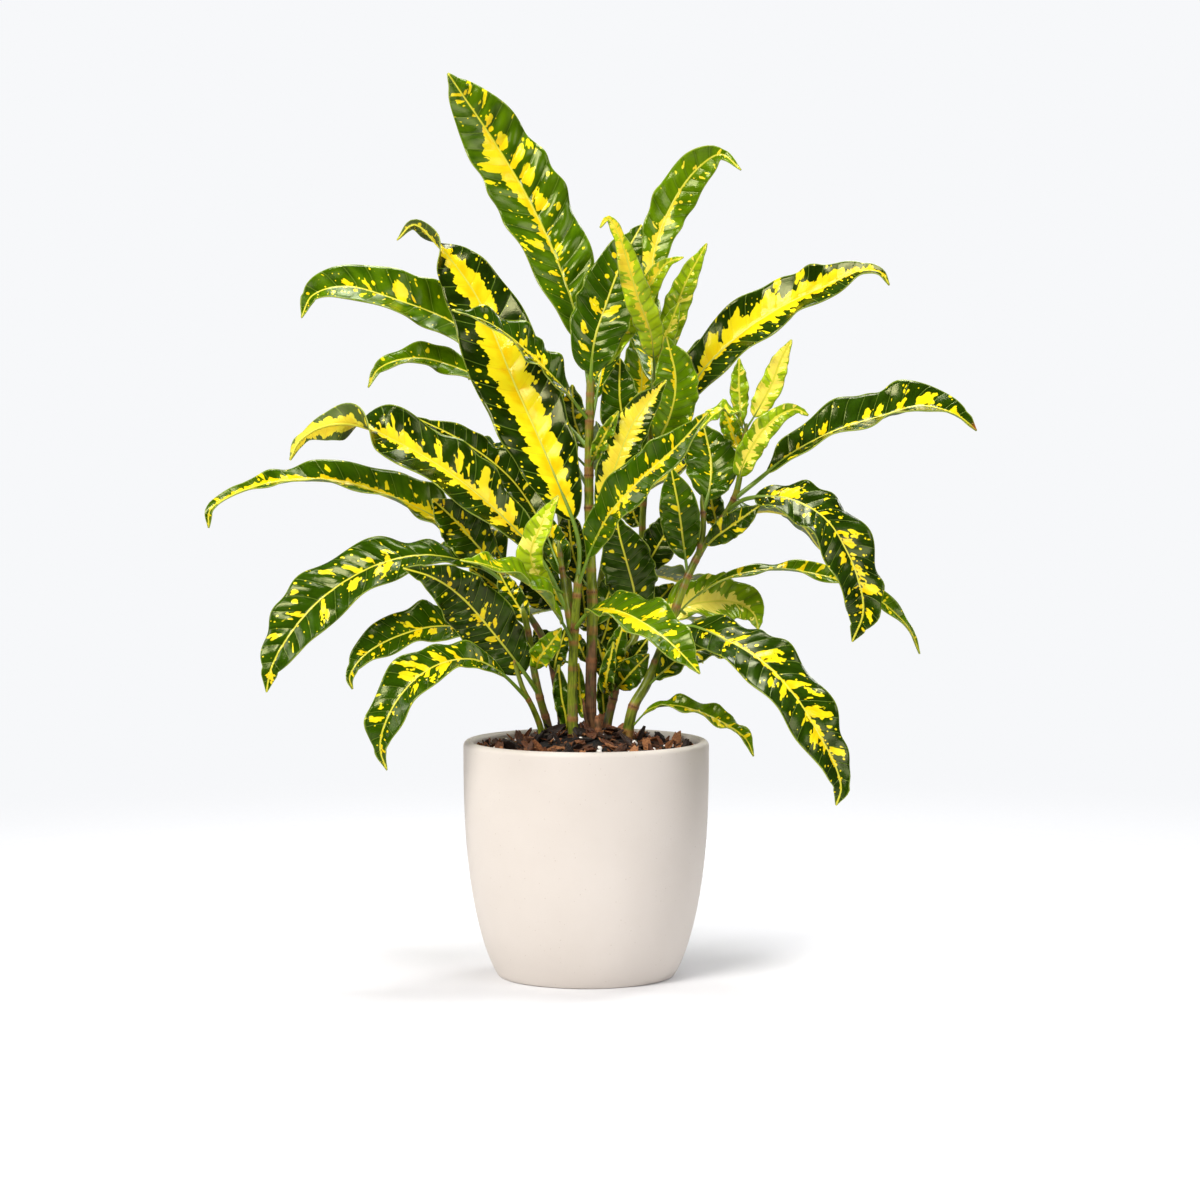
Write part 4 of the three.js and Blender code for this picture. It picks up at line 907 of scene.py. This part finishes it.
stems["leafy_stem_right"] = {"woodTop": 145, "branches": [
    ([[26, 126, -12], [27, 157, -12], [31, 176, -12], [39, 190, -11], [50, 216, -9], [65, 258, -6],
      [76, 280, -4], [88, 297, -4], [97, 314, -5], [101, 336, -5], [104, 360, -5]], 3.9, 1.6),
    ([[73, 274, -5], [76, 292, -4], [75, 314, -3]], 2.2, 1.5),
], "leaves": [
    leaf(0, 350, 11, up, [[97, 366, -10], [87, 368, -14], [74, 356, -18]], (3, 4, 2, 1), (2, 2, 3, 1), 0.65,
         spots=0.25, pale=0.5),
    leaf(0, 218, 40, (0.25, -0.75, 0.6), [[66, 228, -32], [91, 219, -54], [117, 203, -72], [137, 181, -84],
         [150, 160, -90], [162, 137, -92], [166, 122, -92], [163, 111, -90]], (0, 1, 1, 0, 1, 1, 1, 1, 0),
         (-1, 0, 0, 1, 0, 1, 1, 1), 0.12, widest=0.45, fullness=0.5, fold=0.15, torn=0.6, patches=0.15,
         spots=0.4, ruffle=1.2, blobs=((22, -30, 9, 2), (36, -30, 8, 4), (40, -30, 6, 3), (46, 30, 4, 2),
         (52, -30, 8, 3), (52, 30, 5, 3), (58, -60, 3, 2), (64, -30, 8, 4), (72, 20, 6, 4),
         (80, -30, 5, 3))),
    leaf(0, 188, 22, frontUp, [[50, 198, -16], [64, 209, -18], [80, 213, -16], [100, 210, -12]],
         (-1, 0, 0, -1), (-1, 0, 0, -1), 0.2, spots=0.3),
    leaf(0, 160, 15, up, [[42, 174, -18], [58, 176, -24], [76, 171, -32], [94, 162, -38], [104, 154, -40],
         [109, 143, -40]], (0, 0, 0, 0, 0, 0, 0, 0), (1, 0, 1, 1, 5, 3, 1, 0), 0.45, widest=0.55, fold=0.5,
         spots=0.25),
    leaf(0, 312, 37, up, [[110, 322, -6], [133, 340, -4], [159, 354, -2], [190, 364, 0], [218, 371, 0],
         [240, 365, -2], [253, 355, -4]], (0, 1, 0, 0, 1, 0, 0, 1, 1, 2, 1), (0, 1, 0, 0, 0, 1, 0), 0.14,
         widest=0.56, fullness=0.58, fold=0.5, patches=0.1, spots=0.2, ruffle=0.8, dry=1,
         blobs=((30, -25, 4, 2), (50, -25, 4, 3), (56, -25, 4, 3), (65, -20, 3, 3), (75, -30, 5, 4),
         (88, -40, 3, 2), (70, -75, 2, 1))),
    leaf(0, 303, 38, (0.2, -0.7, 0.7), [[104, 311, -16], [131, 311, -28], [155, 298, -38], [169, 277, -42],
         [177, 257, -44], [180, 237, -44], [173, 218, -42]], (-1, 0, -1, -1), (-1, 0, -1, -1), 0.1,
         widest=0.48, fullness=0.5, fold=0.12, patches=0.15, spots=0.5, blobs=((16, -30, 8, 3),
         (20, -30, 6, 2), (10, -30, 5, 2), (49, -50, 4, 2), (52, -20, 4, 3), (58, 30, 3, 3),
         (66, -20, 4, 2), (76, -45, 6, 3), (75, -20, 3, 2), (52, -60, 3, 1), (46, -15, 3, 1),
         (86, -40, 3, 2))),
    leaf(0, 275, 16, front, [[84, 286, -10], [98, 296, -16], [113, 307, -20]], (1, 2, 1, 0), (1, 0, 1, 0),
         0.2, spots=0.3),
    leaf(0, 228, 14, up, [[68, 245, 6], [91, 259, 12], [123, 265, 16], [160, 259, 16], [190, 245, 12],
         [210, 226, 8], [217, 210, 6]], (0, 0, 0, 1, 0, 0), (0, 1, 0, 0, 0, 0), 0.4, widest=0.6, fold=0.5,
         spots=0.35),
    leaf(0, 224, 34, (0, -0.85, 0.5), [[64, 240, 18], [82, 244, 32], [98, 243, 38], [109, 236, 38],
         [112, 226, 36]], (8, 8, 5, 4, 2, 1, 0), (8, 7, 7, 5, 1, 0, 0), 0.66, widest=0.5, torn=0.5,
         spots=0.2, pale=0.9),
    leaf(0, 262, 26, front, [[63, 283, -4], [60, 305, -8], [55, 331, -10]], (-1, 0, 0, -1), (-1, 0, 0, -1),
         0.32, patches=0.1, spots=0.25, ruffle=0.5),
    leaf(1, 302, 34, front, [[80, 318, -2], [81, 335, 4], [76, 359, 8]], (-1, 0, 1, 0, -1),
         (-1, 0, 0, -1, 0), 0.32, patches=0.1, spots=0.3),
    leaf(0, 356, 12, front, [[100, 370, 2], [99, 386, 4], [99, 402, 4]], (1, 2, 1, 0), (2, 1, 1, 0), 0.7,
         spots=0.3, pale=0.8),
    leaf(0, 357, 15, front, [[111, 368, -6], [120, 385, -8], [126, 401, -10], [133, 414, -12]],
         (10, 12, 12, 11, 9), (6, 5, 7, 9, 10), 0.86, widest=0.4, torn=0.9, spots=0.2, pale=0.8),
    leaf(0, 314, 16, front, [[101, 331, -14], [107, 344, -18], [116, 357, -22], [125, 365, -22],
         [136, 369, -22], [144, 365, -22]], (2, 3, 2, 0, 0), (5, 6, 5, 3, 1), 0.7, widest=0.38, spots=0.2,
         pale=0.8),
    leaf(0, 292, 30, sky, [[95, 298, 50], [118, 303, 95], [138, 296, 130], [152, 278, 160]],
         (1, 2, 3, 1, 2, 0), (2, 1, 3, 2, 0, 0), 0.2, spots=0.4),
    leaf(0, 240, 26, sky, [[72, 230, 32], [92, 217, 72], [112, 202, 102], [126, 186, 127]],
         (0, 1, 2, 1, 0, 0), (1, 2, 0, 1, 1, 0), 0.35, spots=0.4),
], "small": [
    leaf(0, 290, 15, front, [[84, 297, 8], [82, 306, 10], [79, 323, 10]], (0, 2), (1, 0), 0.3),
    leaf(0, 338, 13, front, [[98, 346, 4], [94, 356, 8], [88, 373, 8]], (2, 3, 1), (1, 2, 0), 0.6),
]}

stems["leafy_stem_back_left"] = {"woodTop": 190, "branches": [
    ([[-8, 126, 34], [-8, 160, 35], [-8, 190, 39], [-9, 225, 47], [-12, 262, 62], [-18, 306, 82]], 3, 1.8),
], "leaves": [
    leaf(0, 300, 30, sky, [[-40, 330, 122], [-70, 345, 158], [-95, 340, 190]], (2, 4, 3, 4, 2, 0),
         (3, 3, 4, 2, 2, 0), 0.12, spots=0.35),
    leaf(0, 270, 32, sky, [[-38, 284, 104], [-62, 286, 146], [-84, 274, 186]], (0, 2, 1, 3, 0, 1),
         (1, 2, 0, 2, 1, 0), 0.25, spots=0.4),
    leaf(0, 308, 30, sky, [[-24, 348, 116], [-32, 378, 150], [-36, 396, 182]], (3, 2, 1, 2, 0, 0),
         (1, 2, 3, 1, 0, 0), 0.45, spots=0.35),
    leaf(0, 236, 28, sky, [[-30, 238, 84], [-54, 228, 124], [-76, 210, 156]], (1, 0, 2, 0, 1, 0),
         (0, 1, 0, 2, 0, 0), 0.3, spots=0.4),
], "small": [
    leaf(0, 200, 20, front, [[-16, 206, 44], [-24, 214, 46], [-34, 226, 50]], (-1, 0), (0, -1), 0.05),
    leaf(0, 240, 22, front, [[-20, 246, 56], [-30, 250, 58], [-42, 262, 62]], (-1, 0), (0, -1), 0.05),
]}

stems["leafy_stem_back_right"] = {"woodTop": 200, "branches": [
    ([[3, 126, 37], [3, 160, 38], [3, 190, 42], [5, 230, 52], [12, 272, 68], [22, 322, 88]], 3.1, 1.8),
], "leaves": [
    leaf(0, 322, 30, sky, [[34, 368, 122], [36, 400, 144], [32, 424, 160]], (2, 3, 2, 1, 2, 0),
         (3, 2, 1, 3, 1, 0), 0.5, spots=0.35),
    leaf(0, 300, 32, sky, [[48, 322, 128], [74, 336, 166], [92, 330, 200]], (3, 4, 4, 3, 3, 1),
         (2, 4, 3, 4, 2, 1), 0.08, torn=0.5, spots=0.4),
    leaf(0, 264, 30, sky, [[44, 262, 108], [72, 253, 150], [96, 241, 186]], (0, 2, 0, 1, 1, 0),
         (1, 0, 2, 0, 0, 0), 0.2, spots=0.4),
    leaf(0, 232, 26, sky, [[30, 228, 90], [54, 218, 126], [76, 204, 156]], (1, 1, 3, 0, 2, 0),
         (0, 2, 1, 2, 0, 0), 0.35, spots=0.35),
    leaf(0, 318, 30, sky, [[20, 352, 134], [14, 348, 178], [8, 322, 214]], (4, 3, 4, 2, 1, 0),
         (3, 4, 2, 3, 1, 0), 0.28, torn=0.5, spots=0.35),
], "small": [
    leaf(0, 196, 20, front, [[10, 204, 44], [18, 214, 46], [28, 228, 50]], (-1, 0), (0, -1), 0.05),
    leaf(0, 236, 22, front, [[14, 246, 56], [24, 256, 60], [34, 272, 66]], (-1, 0), (0, -1), 0.05),
]}

firstLeaf = 0
for node, stem in stems.items():
    growLeafyStem(node, stem, firstLeaf)
    firstLeaf += len(stem["leaves"])
leafCount = sum(len(stem["leaves"] + stem["small"]) for stem in stems.values())
print("leafy stems:", len(stems), "with", leafCount, "leaves")


# ---- The cut stub of an old stem

stub = {"points": [[8, 126, -14], [8, 158, -14], [7, 170, -13]], "radii": (2.4, 2.1), "scars": (34, 40),
        "woodTop": 400, "seed": 91}


def growStub():
    piece = growStem((stub["points"], *stub["radii"]), stub["woodTop"], stub["scars"], stub["seed"])
    mergeSeams(piece)
    piece.name = piece.data.name = "cutStub"
    onRoot(piece, "cut_stub")
    print("cut stub")


growStub()


# ---- Pot

pot = {
    "height": 154, "rimRadius": 80, "footRadius": 57, "wall": 7, "floor": 9, "corner": 8,
    "bellyPower": 2.8, "bellyBlend": 0.8,   # the outline, as the CAD's
    "sides": 144, "footEdge": ((1.4, 0), (0.5, 0.1)),   # how the foot is rounded: mm inwards, mm up
    "slip": ("#C9C0B7", "#D3CBC3"), "speck": "#9A8672",
}


def potRadius(height):
    left = 1 - np.minimum(height / pot["height"], 1)
    swell = (1 - left ** pot["bellyPower"]) ** pot["bellyBlend"]
    return pot["footRadius"] + (pot["rimRadius"] - pot["footRadius"]) * swell


# Fired clay with a matt off-white slip: soft sheen, faint throwing marks and fine iron specks.
def potFinish():
    finish, shader, add = newFinish("mattWhiteStoneware")
    place = add("TexCoord", output="Object")
    cloud = add("TexNoise", {"Vector": place, "Scale": 22, "Detail": 3})
    # specks of 0.3 mm, drawn 0.7 mm wide so that they show
    specks = add("TexVoronoi", {"Vector": place, "Scale": 1 / (3.2 * mm)})
    big = add("SeparateColor", [specks.node.outputs["Color"]])
    inside = add("Math SUBTRACT", [add("Math MULTIPLY", [big, 0.14]), specks])
    dot = add("MapRange", [inside, 0, 0.03, 0, 0.3])
    slip = add("Mix", {0: cloud, 6: pot["slip"][0], 7: pot["slip"][1]}, **mixColours)
    # slip has a fine tooth, 0.4 mm apart
    tooth = add("TexNoise", {"Vector": place, "Scale": 1 / (0.8 * mm), "Detail": 2})
    stretched = add("VectorMath MULTIPLY", [place, (8, 8, 260)])
    marks = add("TexNoise", {"Vector": stretched, "Scale": 1, "Detail": 2})
    height = add("Math MULTIPLY_ADD", [marks, 0.35, tooth])
    setInputs(shader, {"Base Color": add("Mix", {0: dot, 6: slip, 7: pot["speck"]}, **mixColours),
                       "Roughness": add("MapRange", [cloud, 0, 1, 0.5, 0.62]), "IOR": 1.5,
                       "Normal": add("Bump", {"Strength": 0.3, "Distance": 0.3 * mm, "Height": height})})
    return finish


def throwPot():
    wall, floor, corner = pot["wall"], pot["floor"], pot["corner"]
    lip = wall / 2
    rim = pot["height"] - lip
    profile = [(0, 0), (30, 0)]
    profile += [(pot["footRadius"] - inwards, height) for inwards, height in pot["footEdge"]]
    profile += [(potRadius(z), z) for z in (0.4, 1, 2, 3.5, 5.5, 8, *np.linspace(11, rim, 46))]
    profile += [(pot["rimRadius"] - lip + lip * np.cos(turn), rim + lip * np.sin(turn))
                for turn in np.linspace(0, np.pi, 13)[1:-1]]
    profile += [(potRadius(z) - wall, z) for z in np.linspace(rim, floor + corner, 30)]
    cornerRadius = potRadius(floor + corner) - wall - corner
    profile += [(cornerRadius + corner * np.sin(turn), floor + corner - corner * np.cos(turn))
                for turn in np.linspace(np.pi / 2, 0, 6)[1:]]
    profile += [(20, floor), (0, floor)]
    onRoot(addTurned("pot", profile, pot["sides"], potFinish()), "pot")
    print("pot")


throwPot()


# ---- Soil: a bed of fine mix, bark chips and perlite

soil = {
    "gap": 0.3, "edgeHeight": 147, "moundHeight": 11, "moundRadius": 42, "sides": 120,
    "lumps": 500, "lumpSize": (2, 5), "relief": 1.5,
    "chipModels": 5, "chips": 640, "chipReach": 71.5,
    "chipTaper": 0.45, "chipBow": 0.35, "chipRoughness": 0.09,                # shares of a chip's size
    "chipLength": (4, 15), "chipWidth": (0.22, 0.6), "chipThickness": (0.1, 0.24),   # mm, shares of it
    "standing": 0.3, "steepPitch": (0.5, 1.2),   # share of chips that stand out of the bed, and radians
    "pitchSpread": 0.22, "rollSpread": 0.35,     # how far from level the others lie, radians
    "heap": 4.5,                                 # how much higher, mm, chips lie heaped round the stems
    "beadModels": 2, "perlite": 46, "perliteSize": (1.6, 4.4), "perliteShades": ("#D2C9BE", "#FBF8F3"),
    # name: places and colours of its shades, from wet to dry, and the width of its fibres, mm
    "dampSoilMix": (((0, "#0E0805"), (0.5, "#22140C"), (1, "#4A2E1E")), 2.2),
    "barkChip": (((0, "#120A04"), (0.4, "#2E1A0B"), (0.75, "#693A1A"), (1, "#A26A3C")), 1.3),
}


def soilHeight(radius):
    return soil["edgeHeight"] + soil["moundHeight"] * np.exp(-(radius / soil["moundRadius"]) ** 3)


# Damp composted bark: almost black between the chips, reddish brown and fibrous on their faces.
#   chipTone  0 for a dark wet chip, 1 for a dry reddish one
def barkFinish(name):
    finish, shader, add = newFinish(name)
    shades, grain = soil[name]
    tone = add("Attribute", output="Fac", attribute_name="chipTone")
    fibres = add("TexNoise", {"Vector": add("TexCoord", output="Object"), "Scale": 1 / (grain * mm),
                              "Detail": 4, "Roughness": 0.65})
    mixed = add("Math SUBTRACT", [add("Math MULTIPLY_ADD", [fibres, 0.8, tone]), 0.4])
    setInputs(shader, {"Base Color": add("ValToRGB", [mixed], stops=shades), "Roughness": 0.72,
                       "Normal": add("Bump", {"Strength": 0.8, "Distance": 0.6 * mm, "Height": fibres})})
    return finish


# Expanded volcanic glass: white porous beads
def perliteFinish():
    finish, shader, add = newFinish("whitePerlite")
    place = add("TexCoord", output="Object")
    pores = add("TexNoise", {"Vector": place, "Scale": 1 / (0.7 * mm), "Detail": 3})
    grey, white = soil["perliteShades"]
    setInputs(shader, {"Base Color": add("Mix", {0: pores, 6: grey, 7: white}, **mixColours),
                       "Normal": add("Bump", {"Strength": 0.7, "Distance": 0.4 * mm, "Height": pores}),
                       "Roughness": 0.9})
    return finish


def fillBed(draw):
    inset = pot["wall"] + soil["gap"]
    wall = potRadius(soil["edgeHeight"]) - inset
    floor = pot["floor"] + soil["gap"]
    bottom = pot["floor"] + pot["corner"]
    profile = [(0, floor), (40, floor), (potRadius(bottom) - pot["wall"] - pot["corner"], floor)]
    profile += [(potRadius(z) - inset, z) for z in np.linspace(bottom, soil["edgeHeight"] - 2, 12)]
    profile += [(radius, soilHeight(radius)) for radius in np.linspace(wall - 0.4, 0, 44)]
    bed = addTurned("soilBed", profile, soil["sides"], barkFinish("dampSoilMix"))
    points = readPoints(bed)
    onTop = points[:, 2] > (soil["edgeHeight"] - 1) * mm
    lumps = draw.uniform(-wall, wall, (soil["lumps"], 2)) * mm
    sizes = draw.uniform(*soil["lumpSize"], soil["lumps"]) * mm
    rises = draw.uniform(-1, 1, soil["lumps"]) * soil["relief"] * mm
    for lump, size, rise in zip(lumps, sizes, rises):
        away = np.sum((points[:, :2] - lump) ** 2, axis=1)
        points[:, 2] += np.where(onTop, rise * np.exp(-away / size ** 2), 0)
    writePoints(bed, points)
    return bed


# A few chips are carved, and then copied all over the bed. Each copy has its own size, lie and tone.
def carveChip(draw, finish):
    chip = addShape("chip", bpy.ops.mesh.primitive_cube_add, finish, size=1)
    editWhole(chip, bpy.ops.mesh.subdivide, number_cuts=2)
    points = readPoints(chip)
    points[:, 1:] *= 1 - soil["chipTaper"] * (2 * np.abs(points[:, :1])) ** 3
    points[:, 2] += soil["chipBow"] * points[:, 0] ** 2 * draw.uniform(-1, 1)
    rough = soil["chipRoughness"]
    writePoints(chip, points + draw.uniform(-rough, rough, points.shape))
    return chip


def rollBead(draw, finish):
    bead = addShape("bead", bpy.ops.mesh.primitive_ico_sphere_add, finish, subdivisions=2, radius=0.5)
    points = readPoints(bead)
    writePoints(bead, points * draw.uniform(0.84, 1.12, (len(points), 1)))
    bead.data.shade_smooth()
    return bead


def scatter(name, models, count, lay):
    copies = []
    for number in range(count):
        matrix, tone = lay()
        copy = models[number % len(models)].copy()
        copy.data = copy.data.copy()
        copy.data.transform(matrix)
        copy.data.update()
        writeValues(copy, "chipTone", np.full(len(copy.data.vertices), tone))
        bpy.context.scene.collection.objects.link(copy)
        copies.append(copy)
    for model in models:
        bpy.data.objects.remove(model)
    return joinPieces(copies, name)


def spotOnBed(reach):
    radius = reach * math.sqrt(random.random())
    turn = random.uniform(0, 2 * math.pi)
    return Vector((radius * math.cos(turn), radius * math.sin(turn), soilHeight(radius)))


def layChip():
    shortest, longest = soil["chipLength"]
    length = shortest + (longest - shortest) * random.random() ** 1.7
    size = Vector((1, random.uniform(*soil["chipWidth"]), random.uniform(*soil["chipThickness"]))) * length
    spot = spotOnBed(soil["chipReach"])
    steep = random.random() < soil["standing"]
    pitch = random.uniform(*soil["steepPitch"]) if steep else random.normalvariate(0, soil["pitchSpread"])
    heaped = max(0, 1 - (math.hypot(spot.x, spot.y) / soil["moundRadius"]) ** 2)
    spot.z += 0.25 * length * math.sin(abs(pitch)) + 0.4 + soil["heap"] * heaped * random.random()
    turn = Matrix.Rotation(random.uniform(0, 2 * math.pi), 4, "Z")
    roll = Matrix.Rotation(random.normalvariate(0, soil["rollSpread"]), 4, "X")
    tilt = Matrix.Rotation(pitch, 4, "Y") @ roll
    matrix = Matrix.Translation(spot * mm) @ turn @ tilt @ Matrix.Diagonal((*(size * mm), 1))
    return matrix, random.random()


def layBead():
    size = random.uniform(*soil["perliteSize"])
    spot = spotOnBed(soil["chipReach"] - 2) + Vector((0, 0, 1 + size * 0.25))
    turn = Matrix.Rotation(random.uniform(0, 6), 4, Vector((random.random(), random.random(), 0.5)))
    squash = Matrix.Diagonal((size * mm, size * mm * 0.85, size * mm * 0.8, 1))
    return Matrix.Translation(spot * mm) @ turn @ squash, 1


def fillSoil():
    bed = fillBed(np.random.default_rng(11))
    draw = np.random.default_rng(12)
    random.seed(13)
    bark, perlite = barkFinish("barkChip"), perliteFinish()
    chipModels = [carveChip(draw, bark) for i in range(soil["chipModels"])]
    chips = scatter("barkChips", chipModels, soil["chips"], layChip)
    beadModels = [rollBead(draw, perlite) for i in range(soil["beadModels"])]
    beads = scatter("perliteBeads", beadModels, soil["perlite"], layBead)
    for piece in (bed, chips, beads):
        onRoot(piece, "soil")
    print("soil:", soil["chips"], "bark chips and", soil["perlite"], "perlite beads")


fillSoil()
